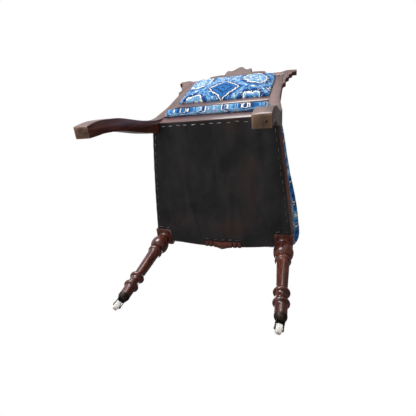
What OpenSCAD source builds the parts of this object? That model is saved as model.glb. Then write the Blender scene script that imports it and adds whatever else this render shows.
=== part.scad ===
// Armless parlour side chair with turned front legs on casters, sabre rear legs that run up
// into a raked back, a shaped crest with a pediment and scalloped ears, and a sprung seat.
// The front is -Y, the sitter's left is +X, the floor is z = 0. Sizes are in millimetres.

/* [Seat frame] */
// Height of the underside of the seat rails above the floor
seat_h = 345; // [330:1:370]
// Depth from the front face of the leg blocks to the back of the rear legs at the seat
seat_d = 456; // [430:1:490]
// Width over the front leg blocks
seat_w_front = 498; // [480:1:530]
// Width over the rear legs at the seat
seat_w_rear = 420; // [410:1:430]
// Height of the seat rails
rail_h = 62; // [56:1:72]
// Thickness of the side and rear rails
rail_t = 26; // [22:1:30]
// Thickness of the front rail
front_rail_t = 30; // [26:1:34]
// Height of the polished strip that shows below the cover
show_h = 40; // [34:1:46]
// Depth of the step above the strip, where the cover is tacked
rebate = 5; // [3:0.5:7]
// Width of the bevel under the side rails
bevel_w = 6; // [4:1:9]
// Height of that bevel
bevel_h = 17; // [10:1:22]
// How far each side rail bows outwards between its ends
side_bow = 2.5; // [1:0.5:5]
// How far the front rail bows forwards between the leg blocks
front_bow = 15; // [11:1:20]
// How far the middle of the front rail stands ahead of the leg blocks
front_lead = 2; // [0:1:6]
// How far the rear legs stand proud of the side rails
leg_proud = 4; // [2:0.5:6]

/* [Front legs] */
// Width of the square block at the top of a front leg
block_w = 61; // [56:1:66]
// Depth of that block
block_d = 63; // [58:1:68]
// Distance from the front of the block to the middle of the turned leg
leg_set = 27; // [27:1:32]
// How far the block hangs below the rails
block_drop = 5; // [2:1:8]
// Forward rake of the turned leg in degrees
front_rake = 6.9; // [4:0.1:9]
// Outward splay of the turned leg in degrees
front_splay = 0.9; // [0:0.1:2]
// Diameter of the round collar under the block
collar_d = 52; // [46:1:53]
// Height of the collar and the cove below it
collar_h = 17; // [13:1:22]
// Diameter of the ball
ball_d = 65; // [58:1:68]
// Height of the ball
ball_h = 54; // [48:1:60]
// Diameter of the bead under the ball
bead_d = 51; // [46:1:56]
// Height of that bead
bead_h = 18; // [14:1:22]
// Diameter of the tapered shaft at its top
shaft_d_top = 40; // [37:1:44]
// Diameter of the tapered shaft at its foot
shaft_d_low = 31.5; // [29:0.5:35]
// Diameter of the two rings near the foot
ring_d = 47; // [43:0.5:52]
// Height of each ring
ring_h = 13; // [10:1:16]
// Distance between the middles of the two rings
ring_pitch = 37; // [32:1:44]
// Height of the ankle between the lower ring and the caster cup
ankle_h = 33; // [27:1:40]
// Diameter of the ankle where it enters the cup
ankle_d = 32.5; // [30:0.5:34]

/* [Rear legs] */
// Width of a rear leg seen from the front
leg_w = 36; // [32:1:40]
// Distance from the middle of the chair to the inner face of a rear foot
foot_x = 173; // [165:1:178]
// Depth of the foot on the floor
foot_d = 26; // [23:1:30]
// Depth of the leg at the seat
leg_d = 40.5; // [37:0.5:44]
// How far the sabre curve swings behind the seat
kick = 30; // [20:1:40]

/* [Back] */
// Rake of the back in degrees from upright
rake = 16.4; // [12:0.1:20]
// Height above the rails' underside at which the back starts to rake
rake_start = 36; // [30:1:44]
// Thickness of the back posts, square to the back
back_t = 30; // [27:1:34]
// Distance along the back from its start to the cross rail
cross_up = 94; // [86:1:104]
// Height of the cross rail along the back
cross_h = 38.5; // [32:0.5:46]
// Thickness of the cross rail
cross_t = 24; // [20:1:26]
// Height of the upholstered opening along the back
open_h = 247; // [225:1:265]
// Width of the opening at its foot
open_w_low = 327; // [315:1:335]
// Width of the opening at its top
open_w_top = 342; // [330:1:350]
// Width over the back posts at the foot of the opening
posts_w_low = 395; // [390:1:402]
// Width over the back posts at the top of the opening
posts_w_top = 398; // [394:1:404]
// Width of the step round the front of the opening, where the pad is tacked
pad_step = 10; // [6:1:13]
// Depth of the back posts behind that step
pad_seat = 12; // [10:1:14]

/* [Crest] */
// Thickness of the crest rail
crest_t = 25; // [22:1:28]
// Height of the crest rail at its low ends
crest_end_h = 34; // [28:1:40]
// Height of the first step of the crest rail
crest_step_h = 54; // [48:1:58]
// Height of the crest rail under the pediment
crest_mid_h = 86; // [76:1:96]
// Width over the first steps
crest_step_w = 258; // [240:2:280]
// Width over the second steps
crest_mid_w = 242; // [226:2:246]
// Width of the pediment
pediment_w = 116; // [104:2:130]
// Height of the pediment
pediment_h = 112; // [96:2:126]
// Height of the pediment's shoulders
shoulder_h = 60; // [50:1:68]
// Thickness of the pediment
pediment_t = 20; // [16:1:22]
// How far each ear reaches outside its post
ear_w = 49; // [42:1:56]
// Thickness of the ears
ear_t = 16; // [13:1:20]
// Distance from the foot of an ear to the foot of the crest rail
ear_drop = 148; // [136:2:156]
// Radius of the ears' lobes
lobe_r = 17.5; // [15:0.5:19]

/* [Pendant] */
// Width of the carved drop under the front rail
pendant_w = 132; // [120:2:150]
// Thickness of the drop
pendant_t = 20; // [16:1:22]
// Depth of its pointed middle below the rail
pendant_h = 24; // [20:1:32]
// How far the drop stands off the middle of the rail
pendant_shift = -8; // [-10:1:0]
// Depth of its square beads below the rail
bead_drop = 10; // [7:1:13]

/* [Casters] */
// Diameter of a wheel
wheel_d = 26; // [24:1:27]
// Width of a wheel
wheel_w = 16.5; // [14:0.5:17]
// Distance from the swivel axis to the wheel's axle
trail = 9; // [6:1:11]
// Height of the underside of the cup above the floor
cup_z = 33; // [32:1:36]
// Height of the cup
cup_h = 14; // [11:1:20]
// Wall of the cup
cup_wall = 1.8; // [1.4:0.1:2.2]
// Thickness of the fork's prongs
prong_t = 2.4; // [2:0.1:3]
// Thickness of the plate on top of the fork
plate_t = 2.8; // [2:0.1:3.2]
// Diameter of the spindle that turns in the leg
spindle_d = 7; // [6:0.5:8]
// Length of the spindle above the plate
spindle_l = 24; // [18:1:27]
// Diameter of the axle
axle_d = 4.4; // [3.6:0.2:5.2]
// Direction in which the left wheel trails, in degrees from +X
turn_left = -52; // [-180:1:180]
// Direction in which the right wheel trails, in degrees from +X
turn_right = -72; // [-180:1:180]

/* [Joinery] */
// Diameter of the dowels in the frame
dowel_d = 10; // [8:0.5:11]
// Length of those dowels
dowel_l = 40; // [34:1:42]
// Diameter of the dowels in the crest
crest_dowel_d = 8; // [6:0.5:9]
// Length of those dowels
crest_dowel_l = 26; // [22:1:28]
// Length of a corner block along each rail
corner_l = 58; // [50:1:64]
// Height of a corner block
corner_h = 34; // [28:1:40]
// Diameter of the shank of a corner block's screw
screw_d = 4.5; // [4:0.1:5]
// Diameter of the head of that screw
screw_head_d = 9; // [8:0.5:10]
// Length of that screw
screw_l = 38; // [34:1:42]

/* [Upholstery] */
// Thickness of the woven cover over its wadding
cover_t = 3; // [2:0.5:4]
// Height of the middle of the seat above the rails' underside
crown_h = 116; // [104:1:126]
// Height of the fullest part of the seat's side above the rails' underside
full_h = 76; // [68:1:84]
// How far the cover stands out beyond the side rails at the back
bulge_rear_side = 4; // [2:1:10]
// How far the cover stands out beyond the side rails at the front
bulge_front_side = 21; // [12:1:24]
// How far the cover stands out beyond the front and rear rails
bulge_ends = 28; // [22:1:30]
// Radius of the seat's front corners
seat_corner_r = 32; // [24:1:40]
// Height of the hessian over the springs above the top of the rails
dome_h = 20; // [12:1:26]
// How far the pad stands ahead of the back posts
pad_crown = 26; // [16:1:34]
// How far the outside back stands behind the back posts
panel_crown = 24; // [16:1:28]
// Width of a webbing strap
strap_w = 40; // [36:1:41]
// Thickness of a webbing strap
strap_t = 1.4; // [1:0.1:1.8]
// Thickness of the hessian and of the dust cover
cloth_t = 0.8; // [0.6:0.1:1.2]
// Diameter of the springs at their ends
spring_d = 78; // [68:1:84]
// Diameter of the springs at their waist
waist_d = 50; // [42:1:60]
// Diameter of the spring wire
wire_d = 3.6; // [3:0.1:4.2]

/* [Clearances] */
// Gap round glued dowels and between soft parts and wood
fit_gap = 0.3; // [0.2:0.05:0.4]
// Gap round a dowel or a screw in its hole
hole_gap = 0.05; // [0.03:0.01:0.1]
// Running gap round the spindle and the axles
run_gap = 0.06; // [0.03:0.01:0.1]
// Gap between the swivel plate and the cup
swivel_gap = 0.3; // [0.2:0.05:0.5]
// Gap at each side of a wheel
wheel_gap = 0.6; // [0.4:0.1:0.8]

/* [Hidden] */

$fn = 96;
// Fragments of a full turn on the very large radii of the bowed rails
bow_fn = 1440;
// A length that runs past any piece of the chair
past = 1200;
// A small overrun that keeps cut faces apart
over = 1;

wood = "#4e2a22";
wood_pale = "#8a6a50";
metal_dark = "#2c2622";
steel = "#8f8f8c";
china = "#e6e2d8";
cloth_blue = "#2f6fb6";
jute = "#a58a5c";
felt = "#cfc6b2";
black_cloth = "#26242a";

// Heights of the seat frame
rail_top = seat_h + rail_h;
show_top = seat_h + show_h;
rake_z = seat_h + rake_start;
block_bottom = seat_h - block_drop;

// Faces of the seat frame, with y = 0 in the middle of its depth
back_y = seat_d / 2;
leg_front_y = back_y - leg_d;
block_front_y = -seat_d / 2;
block_rear_y = block_front_y + block_d;
block_x = seat_w_front / 2 - block_w / 2;
block_in_x = seat_w_front / 2 - block_w;
leg_axis_y = block_front_y + leg_set;

// The side rail's outer face is an arc between the rear leg and the leg block
side_a = [seat_w_rear / 2 - leg_proud, leg_front_y];
side_b = [seat_w_front / 2 - 0.5, block_rear_y];
side_chord = norm(side_b - side_a);
side_r = (pow(side_chord / 2, 2) + side_bow * side_bow) / (2 * side_bow);
side_n = [side_a.y - side_b.y, side_b.x - side_a.x] / side_chord;
side_c = (side_a + side_b) / 2 + side_n * (side_bow - side_r);
function side_x(y, inset = 0) = side_c.x + sqrt(pow(side_r - inset, 2) - pow(y - side_c.y, 2));

// The front rail's outer face is an arc between the leg blocks
front_r = (pow(block_in_x, 2) + front_bow * front_bow) / (2 * front_bow);
front_c = block_front_y - front_lead + front_r;
function front_y(x, inset = 0) = front_c - sqrt(pow(front_r - inset, 2) - x * x);

// The rear face of the back, as y at a height z
function plane_y(z) = back_y + (z - rake_z) * tan(rake);

// Distances along the back, measured from the start of its rake
open_low = cross_up + cross_h;
open_top = open_low + open_h;
crest_top = open_top + crest_mid_h;
peak = crest_top + pediment_h;
function back_z(v) = rake_z + v * cos(rake);

// The chair stands with the middle of its depth over the origin
leg_foot_x = block_x + (block_bottom - cup_z) * tan(front_splay);
leg_foot_y = leg_axis_y - (block_bottom - cup_z) * tan(front_rake) / cos(front_splay);
wheel_front_y = leg_foot_y + trail * sin(turn_right) - wheel_d / 2;
peak_y = back_y + peak * sin(rake);
origin_y = (peak_y + wheel_front_y) / 2;

function arc(c, r, a0, a1, n) = [for (k = [0:n]) c + r * [cos(a0 + (a1 - a0) * k / n), sin(a0 + (a1 - a0) * k / n)]];
function smoothstep(t) = let (s = min(max(t, 0), 1)) s * s * (3 - 2 * s);
function mix(a, b, t) = a + (b - a) * t;

// A smooth line through a list of points
function bend(p0, p1, p2, p3, t) = 0.5 * (2 * p1 + (p2 - p0) * t
    + (2 * p0 - 5 * p1 + 4 * p2 - p3) * t * t + (3 * p1 - p0 - 3 * p2 + p3) * t * t * t);
function smooth_line(p, n) = let (last = len(p) - 1) [
    for (i = [0:last - 1]) for (k = [0:n - 1])
        bend(p[max(i - 1, 0)], p[i], p[i + 1], p[min(i + 2, last)], k / n),
    p[last]];

function reversed(p) = [for (i = [len(p) - 1:-1:0]) p[i]];
function mirrored(p) = [for (q = reversed(p)) [-q.x, q.y]];

module placed() {
    translate([0, -origin_y, 0]) children();
}

module on_back() {
    placed() translate([0, back_y, rake_z]) rotate([-rake, 0, 0]) children();
}

module flip(right) {
    if (right) mirror([1, 0, 0]) children();
    else children();
}

// An outline drawn in the side view, as y and z, extruded from x0 to x1
module side_view(x0, x1) {
    translate([x0, 0, 0]) rotate([90, 0, 90]) linear_extrude(x1 - x0) children();
}

// An outline drawn in the front view, as x and z, extruded from y0 to y1
module front_view(y0, y1) {
    translate([0, y1, 0]) rotate([90, 0, 0]) linear_extrude(y1 - y0) children();
}

// A closed form through rings of points that all run the same way, from a middle point of
// its foot to its tip
module loft(rings, foot_point, tip) {
    n = len(rings[0]);
    m = len(rings);
    points = [for (r = rings) each r, tip, foot_point];
    sides = [for (k = [0:m - 2]) for (i = [0:n - 1]) let (a = k * n + i, b = k * n + (i + 1) % n)
        each [[a, a + n, b + n], [a, b + n, b]]];
    cap = [for (i = [0:n - 1]) [(m - 1) * n + i, m * n, (m - 1) * n + (i + 1) % n]];
    foot = [for (i = [0:n - 1]) [(i + 1) % n, m * n + 1, i]];
    polyhedron(points, concat(foot, sides, cap), convexity = 6);
}

// Rear legs

// Height, swing and depth of the sabre leg, as shares of seat_h, kick and the growth in depth
leg_sweep = [
    [0, 0.77, 0], [0.09, 0.94, 0.27], [0.18, 1, 0.31], [0.36, 0.91, 0.39], [0.51, 0.65, 0.49],
    [0.63, 0.41, 0.58], [0.75, 0.22, 0.70], [0.93, 0.03, 0.94], [1, 0, 1]];
leg_rear_line = smooth_line([for (s = leg_sweep) [back_y + kick * s[1], seat_h * s[0]]], 4);
leg_front_line = smooth_line([for (s = leg_sweep)
    [back_y + kick * s[1] - mix(foot_d, leg_d, s[2]), seat_h * s[0]]], 4);
post_y_t = back_t / cos(rake);
post_full_z = back_z(cross_up);
post_end_z = back_z(open_top) + 2 * back_t;
post_front_line = smooth_line([
    [leg_front_y, rail_top], [mix(leg_front_y, plane_y(post_full_z) - post_y_t, 0.3), rail_top + 26],
    [plane_y(post_full_z) - post_y_t, post_full_z]], 5);
// The rear edge turns into the rake over a short bend
rake_bend = 26;
rake_bend_line = [for (k = [0:5]) let (t = k / 5)
    mix(mix([back_y, rake_z - rake_bend], [back_y, rake_z], t),
        mix([back_y, rake_z], [plane_y(rake_z + rake_bend), rake_z + rake_bend], t), t)];
leg_side_outline = concat(
    leg_rear_line, rake_bend_line, [[plane_y(post_end_z), post_end_z],
    [plane_y(post_end_z) - post_y_t, post_end_z]],
    reversed(post_front_line), reversed(leg_front_line));

// Inner and outer edges of the leg and post in the front view
seat_leg_x = seat_w_rear / 2;
leg_inner_line = [
    [foot_x, 0], [seat_leg_x - leg_w + 2, seat_h], [seat_leg_x - leg_w + 1, show_top],
    [open_w_low / 2, back_z(cross_up) - 24], [open_w_low / 2, back_z(open_low)],
    [open_w_top / 2, back_z(open_top)],
    [open_w_top / 2, post_end_z]];
leg_outer_line = smooth_line([
    [foot_x + leg_w, 0], [seat_leg_x, seat_h], [seat_leg_x - 1, show_top],
    [mix(seat_leg_x, posts_w_low / 2, 0.75), back_z(cross_up) - 12],
    [posts_w_low / 2, back_z(open_low)], [posts_w_top / 2, back_z(open_top)],
    [posts_w_top / 2, post_end_z]], 3);

module rear_leg(right) {
    color(wood) flip(right) difference() {
        placed() intersection() {
            side_view(foot_x - leg_w, seat_leg_x + leg_w) polygon(leg_side_outline);
            front_view(0, past) polygon(concat(leg_outer_line, reversed(leg_inner_line)));
        }
        on_back() translate([0, -past / 2, open_top]) cube(past);
        pad_cut();
        seat_dowel_set(hole_gap);
        back_dowel_set(hole_gap);
    }
}

module rear_leg_left() {
    rear_leg(false);
}

module rear_leg_right() {
    rear_leg(true);
}

// Front legs

function bead(s, base, r, h, n = 8) = [for (k = [0:n]) let (a = -90 + 180 * k / n)
    [base + (r - base) * cos(a), s + h / 2 * (1 + sin(a))]];
function cove(s0, r0, s1, r1, n = 6) = [for (k = [0:n]) let (a = 90 * k / n)
    [r1 + (r0 - r1) * (1 - sin(a)), s0 + (s1 - s0) * (1 - cos(a))]];

// Distances down the axis of the turned leg, from the underside of its block
leg_axis_l = (block_bottom - cup_z) / (cos(front_rake) * cos(front_splay));
cup_top_s = leg_axis_l - cup_h;
ball_s = collar_h;
bead_s = ball_s + ball_h + 5;
flare_s = bead_s + bead_h;
ring2_s = cup_top_s - ankle_h - ring_h;
ring1_s = ring2_s - ring_pitch;
collar_r = collar_d / 2;
neck_r = shaft_d_top / 2 - 1.5;
low_r = shaft_d_low / 2;
stub_r = ankle_d / 2 - cup_wall - fit_gap;
stub_end_s = leg_axis_l - cup_h / 2;

leg_profile = concat(
    [[0, -block_drop - 10], [collar_r, -block_drop - 10]],
    cove(1.5, collar_r, collar_h - 7, neck_r + 2),
    [[neck_r + 4, collar_h - 6], [neck_r + 4, collar_h - 3], [neck_r, collar_h - 2]],
    bead(ball_s, neck_r - 2, ball_d / 2, ball_h, 16),
    [[neck_r, ball_s + ball_h], [neck_r + 1.5, bead_s]],
    bead(bead_s, neck_r + 1.5, bead_d / 2, bead_h),
    cove(flare_s, shaft_d_top / 2 + 2.5, flare_s + 9, shaft_d_top / 2),
    [[low_r, ring1_s - 5], [low_r + 2.5, ring1_s - 3], [low_r + 2.5, ring1_s]],
    bead(ring1_s, low_r + 2.5, ring_d / 2, ring_h),
    cove(ring1_s + ring_h, low_r + 3, ring1_s + ring_h + 7, low_r + 0.5),
    [[low_r + 1.2, ring2_s - 4], [low_r + 3, ring2_s - 2]],
    bead(ring2_s, low_r + 2.5, ring_d / 2 - 0.5, ring_h),
    cove(ring2_s + ring_h, low_r + 3, ring2_s + ring_h + 5, low_r + 1),
    [[ankle_d / 2, cup_top_s - fit_gap], [stub_r, cup_top_s - fit_gap], [stub_r, stub_end_s],
    [0, stub_end_s]]);

module front_leg_axis() {
    placed() translate([block_x, leg_axis_y, block_bottom])
        rotate([-front_rake, -front_splay, 0]) children();
}

module front_leg(right) {
    color(wood) flip(right) difference() {
        union() {
            placed() {
                translate([block_in_x, block_front_y, block_bottom])
                    cube([block_w, block_d, show_top - block_bottom]);
                translate([block_in_x, block_front_y + rebate, block_bottom])
                    cube([block_w - rebate, block_d - rebate, rail_top - block_bottom]);
            }
            front_leg_axis() rotate_extrude() polygon([for (p = leg_profile) [p.x, -p.y]]);
        }
        caster_axis() translate([0, 0, cup_z - over])
            cylinder(d = spindle_d + 2 * run_gap, h = plate_t + spindle_l + over);
        seat_dowel_set(hole_gap);
    }
}

module front_leg_left() {
    front_leg(false);
}

module front_leg_right() {
    front_leg(true);
}

// Seat rails

side_rail_section = [
    [side_r - rail_t, seat_h], [side_r - bevel_w, seat_h], [side_r - 1.5, seat_h + bevel_h - 3],
    [side_r, seat_h + bevel_h], [side_r, show_top], [side_r - rebate, show_top],
    [side_r - rebate, rail_top], [side_r - rail_t, rail_top]];

module side_rail(right) {
    color(wood) flip(right) difference() {
        placed() intersection() {
            translate([side_c.x, side_c.y, 0]) rotate([0, 0, atan2(side_n.y, side_n.x) - 4])
                rotate_extrude(angle = 8, $fn = bow_fn) polygon(side_rail_section);
            translate([0, block_rear_y, 0]) cube([past, leg_front_y - block_rear_y, past]);
        }
        seat_dowel_set(hole_gap);
        screw_set(hole_gap);
    }
}

module side_rail_left() {
    side_rail(false);
}

module side_rail_right() {
    side_rail(true);
}

front_rail_section = [
    [front_r - front_rail_t, seat_h], [front_r - 3, seat_h], [front_r, seat_h + 3],
    [front_r, show_top], [front_r - rebate, show_top], [front_r - rebate, rail_top],
    [front_r - front_rail_t, rail_top]];
front_half_angle = asin(block_in_x / front_r) + 2;

module front_rail() {
    color(wood) difference() {
        placed() intersection() {
            translate([0, front_c, 0]) rotate([0, 0, -90 - front_half_angle])
                rotate_extrude(angle = 2 * front_half_angle, $fn = bow_fn) polygon(front_rail_section);
            translate([-block_in_x, -past, 0]) cube([2 * block_in_x, past, past]);
        }
        for (side = [false, true]) flip(side) {
            seat_dowel_set(hole_gap);
            screw_set(hole_gap);
        }
    }
}

rear_leg_in_x = seat_leg_x - leg_w + 2;
rear_rail_section = [
    [plane_y(seat_h), seat_h], [plane_y(show_top), show_top], [plane_y(show_top) - rebate, show_top],
    [plane_y(rail_top) - rebate, rail_top], [plane_y(rail_top) - rail_t, rail_top],
    [plane_y(seat_h) - rail_t, seat_h]];

module rear_rail() {
    color(wood) difference() {
        placed() intersection() {
            side_view(-past / 2, past / 2) polygon(rear_rail_section);
            front_view(0, past) polygon([
                for (side = [1, -1]) each side > 0 ? rear_rail_ends : mirrored(rear_rail_ends)]);
        }
        for (side = [false, true]) flip(side) {
            seat_dowel_set(hole_gap);
            screw_set(hole_gap);
        }
    }
}

// The rear rail's end follows the inner edge of the leg
function leg_inner_x(z) = lookup(z, [for (p = leg_inner_line) [p.y, p.x]]);
rear_rail_ends = [
    [leg_inner_x(seat_h), seat_h - over], [leg_inner_x(seat_h), seat_h],
    [leg_inner_x(show_top), show_top], [leg_inner_x(rail_top), rail_top],
    [leg_inner_x(rail_top), rail_top + over]];

// Dowels of the seat frame, on the sitter's left

side_dowel_z = [seat_h + 18, seat_h + 44];
rear_dowel_z = [seat_h + 31, seat_h + 56];
front_dowel_y = front_y(block_in_x) + front_rail_t / 2;

module dowel(d, l, gap) {
    translate([0, 0, -l / 2 - gap]) cylinder(d = d + 2 * gap, h = l + 2 * gap);
}

module seat_dowel_set(gap) {
    placed() {
        for (z = side_dowel_z) {
            translate([side_x(leg_front_y) - rail_t / 2, leg_front_y, z]) rotate([90, 0, 0])
                dowel(dowel_d, dowel_l, gap);
            translate([side_x(block_rear_y) - rail_t / 2, block_rear_y, z]) rotate([90, 0, 0])
                dowel(dowel_d, dowel_l, gap);
            translate([block_in_x, front_dowel_y, z]) rotate([0, 90, 0])
                dowel(dowel_d, dowel_l, gap);
        }
        for (z = rear_dowel_z)
            translate([rear_leg_in_x, plane_y(z) - rail_t / 2, z]) rotate([0, 90, 0])
                dowel(dowel_d, dowel_l, gap);
    }
}

module seat_dowels() {
    color(wood_pale) for (side = [false, true]) flip(side) seat_dowel_set(0);
}

// Corner blocks, glued and screwed inside the corners of the seat frame

corner_z = seat_h + 7;
front_corner_outline = concat(
    [for (k = [0:5]) let (x = mix(block_in_x - corner_l, block_in_x - fit_gap, k / 5))
        [x, front_y(x, front_rail_t) + fit_gap]],
    [[block_in_x - fit_gap, block_rear_y + fit_gap]],
    [for (k = [0:5]) let (y = mix(block_rear_y + fit_gap, block_rear_y + corner_l, k / 5))
        [side_x(y, rail_t) - fit_gap, y]]);
rear_corner_y = plane_y(corner_z) - rail_t - fit_gap;
rear_corner_outline = concat(
    [for (k = [0:5]) let (y = mix(leg_front_y - corner_l, leg_front_y - fit_gap, k / 5))
        [side_x(y, rail_t) - fit_gap, y]],
    [[leg_inner_x(corner_z) - fit_gap - 1, leg_front_y - fit_gap],
    [leg_inner_x(corner_z) - fit_gap - 1, rear_corner_y],
    [leg_inner_x(corner_z) - corner_l, rear_corner_y]]);

// A screw that points along +X, with the underside of its head at the origin
module screw(gap, sink = 0) {
    rotate([0, 90, 0]) {
        cylinder(d = screw_d + 2 * gap, h = screw_l - 3 + gap);
        translate([0, 0, -3]) cylinder(d = screw_head_d + 2 * gap, h = 3);
        if (sink > 0) translate([0, 0, -3 - sink]) cylinder(d = screw_head_d + 2 * gap, h = sink + over);
    }
}

screw_z = corner_z + corner_h / 2;
screw_in = 22;
screw_side_y = [block_rear_y + 30, leg_front_y - 30];
screw_front_x = block_in_x - 30;
screw_rear_x = rear_leg_in_x - 30;

module screw_set(gap, sink = 0) {
    placed() {
        for (y = screw_side_y)
            translate([side_x(y, rail_t) - screw_in, y, screw_z]) screw(gap, sink);
        translate([screw_front_x, front_y(screw_front_x, front_rail_t) + screw_in, screw_z])
            rotate([0, 0, -90]) screw(gap, sink);
        translate([screw_rear_x, plane_y(screw_z) - rail_t - screw_in, screw_z])
            rotate([0, 0, 90]) screw(gap, sink);
    }
}

module corner_blocks() {
    color(wood_pale) for (side = [false, true]) flip(side) difference() {
        placed() translate([0, 0, corner_z]) linear_extrude(corner_h) {
            polygon(front_corner_outline);
            polygon(rear_corner_outline);
        }
        screw_set(hole_gap, corner_l);
    }
}

module corner_screws() {
    color(steel) for (side = [false, true]) flip(side) screw_set(0);
}

// The carved drop glued under the middle of the front rail

pendant_rear_y = front_y(0) + 6 + pendant_t;
drop_half = pendant_w / 2;
pendant_half_outline = [
    [0, -pendant_h], [6, -pendant_h + 2], [16, -pendant_h * 0.66], [25, -pendant_h * 0.52],
    [31, -pendant_h * 0.5], [34, -pendant_h * 0.36], [35, -3],
    [drop_half - 28, -3], [drop_half - 28, -bead_drop], [drop_half - 16, -bead_drop],
    [drop_half - 16, -3], [drop_half - 12, -3], [drop_half - 12, -bead_drop + 1.5],
    [drop_half - 1, -bead_drop + 1.5], [drop_half, -3], [drop_half, 0]];

module front_pendant() {
    color(wood) placed() translate([pendant_shift, 0, seat_h])
        front_view(pendant_rear_y - pendant_t, pendant_rear_y)
            polygon(concat(pendant_half_outline, mirrored(pendant_half_outline)));
}

// Back frame. On the back, x runs across, y is 0 on the rear face and z runs up the rake.

function open_half(v) = mix(open_w_low / 2, open_w_top / 2, (v - open_low) / open_h);
function post_half(v) = mix(posts_w_low / 2, posts_w_top / 2, (v - open_low) / open_h);

// The upholstered opening, wider by m all round
module opening(m) {
    low = open_low - m;
    high = open_top + m;
    polygon([[-open_half(low) - m, low], [open_half(low) + m, low],
        [open_half(high) + m, high], [-open_half(high) - m, high]]);
}

// The step round the front of the opening that takes the edge of the pad
module pad_cut() {
    on_back() front_view(-past / 2, -pad_seat) opening(pad_step);
}

module back_dowel_set(gap) {
    on_back() {
        for (v = [cross_up + 9, cross_up + cross_h - 18])
            translate([open_w_low / 2, -cross_t / 2, v]) rotate([0, 90, 0])
                dowel(dowel_d, dowel_l, gap);
        translate([(open_half(open_top) + post_half(open_top)) / 2, -pad_seat / 2, open_top])
            dowel(crest_dowel_d, crest_dowel_l, gap);
        translate([post_half(open_top), -ear_t / 2, open_top + crest_end_h / 2])
            rotate([0, 90, 0]) dowel(crest_dowel_d, crest_dowel_l, gap);
        translate([pediment_w / 4, -pediment_t / 2, crest_top])
            dowel(crest_dowel_d, crest_dowel_l, gap);
    }
}

module back_dowels() {
    color(wood_pale) for (side = [false, true]) flip(side) back_dowel_set(0);
}

module back_cross_rail() {
    color(wood) difference() {
        on_back() translate([-open_w_low / 2, -cross_t, cross_up]) cube([open_w_low, cross_t, cross_h]);
        pad_cut();
        for (side = [false, true]) flip(side) back_dowel_set(hole_gap);
    }
}

crest_end_x = post_half(open_top);
crest_half_outline = [
    [crest_end_x, 0], [crest_end_x, crest_end_h + 11], [crest_end_x - 12, crest_end_h],
    [crest_end_x - 30, crest_end_h + 1.5], [crest_end_x - 52, crest_end_h],
    [crest_step_w / 2 + 2, crest_end_h + 8], [crest_step_w / 2, crest_step_h],
    [crest_mid_w / 2, crest_step_h], [crest_mid_w / 2, crest_mid_h - 12],
    [crest_mid_w / 2 - 14, crest_mid_h - 2], [pediment_w / 2 + 14, crest_mid_h + 6],
    [pediment_w / 2 + 1, crest_mid_h]];

module crest_rail() {
    color(wood) difference() {
        on_back() translate([0, 0, open_top]) front_view(-crest_t, 0)
            polygon(concat(crest_half_outline, mirrored(crest_half_outline)));
        pad_cut();
        for (side = [false, true]) flip(side) back_dowel_set(hole_gap);
    }
}

// The bead on each shoulder and the hollow beside it, with the angles at which their arcs start
shoulder_bead_r = 6;
shoulder_bead_a = 20;
shoulder_hollow_r = 9;
shoulder_hollow_a = 30;
shoulder_hollow_x = pediment_w / 2 - 21;
pediment_half_outline = concat(
    [[pediment_w / 2, 0], [pediment_w / 2, shoulder_h - 13], [pediment_w / 2 - 3, shoulder_h - 3]],
    arc([pediment_w / 2 - 8, shoulder_h], shoulder_bead_r, shoulder_bead_a, 180 - shoulder_bead_a, 6),
    arc([shoulder_hollow_x, shoulder_h + 6], shoulder_hollow_r,
        -shoulder_hollow_a, shoulder_hollow_a - 180, 5),
    [[pediment_w / 2 - 31, shoulder_h + 7], [17, pediment_h - 24], [15, pediment_h - 14],
    [9, pediment_h - 6], [5, pediment_h - 1], [0, pediment_h]]);

module crest_pediment() {
    color(wood) difference() {
        on_back() translate([0, 0, crest_top]) front_view(-pediment_t, 0)
            polygon(concat(pediment_half_outline, mirrored(pediment_half_outline)));
        for (side = [false, true]) flip(side) back_dowel_set(hole_gap);
    }
}

// Ear outside a post: three lobes that grow upwards to a square horn
horn_h = 26;
// Middles of the lobes, as shares of the ear's width and of its drop
lobe_steps = [[-0.12, 0.29], [0.07, 0.73], [0.31, 1.03]];

module ear(right) {
    horn_low = crest_end_h - 13;
    color(wood) flip(right) difference() {
        on_back() translate([crest_end_x, 0, open_top]) front_view(-ear_t, 0) intersection() {
            union() {
                polygon([[0, -ear_drop], [2, -ear_drop + 14], [ear_w * 0.25, -ear_drop * 0.38],
                    [ear_w * 0.5, -8], [ear_w * 0.65, horn_low], [ear_w, horn_low],
                    [ear_w, horn_low + horn_h - 3], [ear_w - 4, horn_low + horn_h],
                    [12, crest_end_h + 20], [0, crest_end_h + 11]]);
                for (s = lobe_steps) translate([ear_w * s.x, ear_drop * (s.y - 1)]) circle(lobe_r);
            }
            translate([0, -past / 2]) square(past);
        }
        back_dowel_set(hole_gap);
    }
}

module ear_left() {
    ear(false);
}

module ear_right() {
    ear(true);
}

// Casters. The swivel axis is upright under the middle of the leg's end.

wheel_r = wheel_d / 2;
fork_in = wheel_w / 2 + wheel_gap;
fork_out = fork_in + prong_t;
plate_top = cup_z - swivel_gap;
plate_r = fork_out + 0.8;
cup_lip_r = ankle_d / 2 + 0.6;

module caster_axis() {
    placed() translate([leg_foot_x, leg_foot_y, 0]) children();
}

module caster(right) {
    flip(right) caster_axis() rotate([0, 0, right ? 180 - turn_right : turn_left]) children();
}

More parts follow.
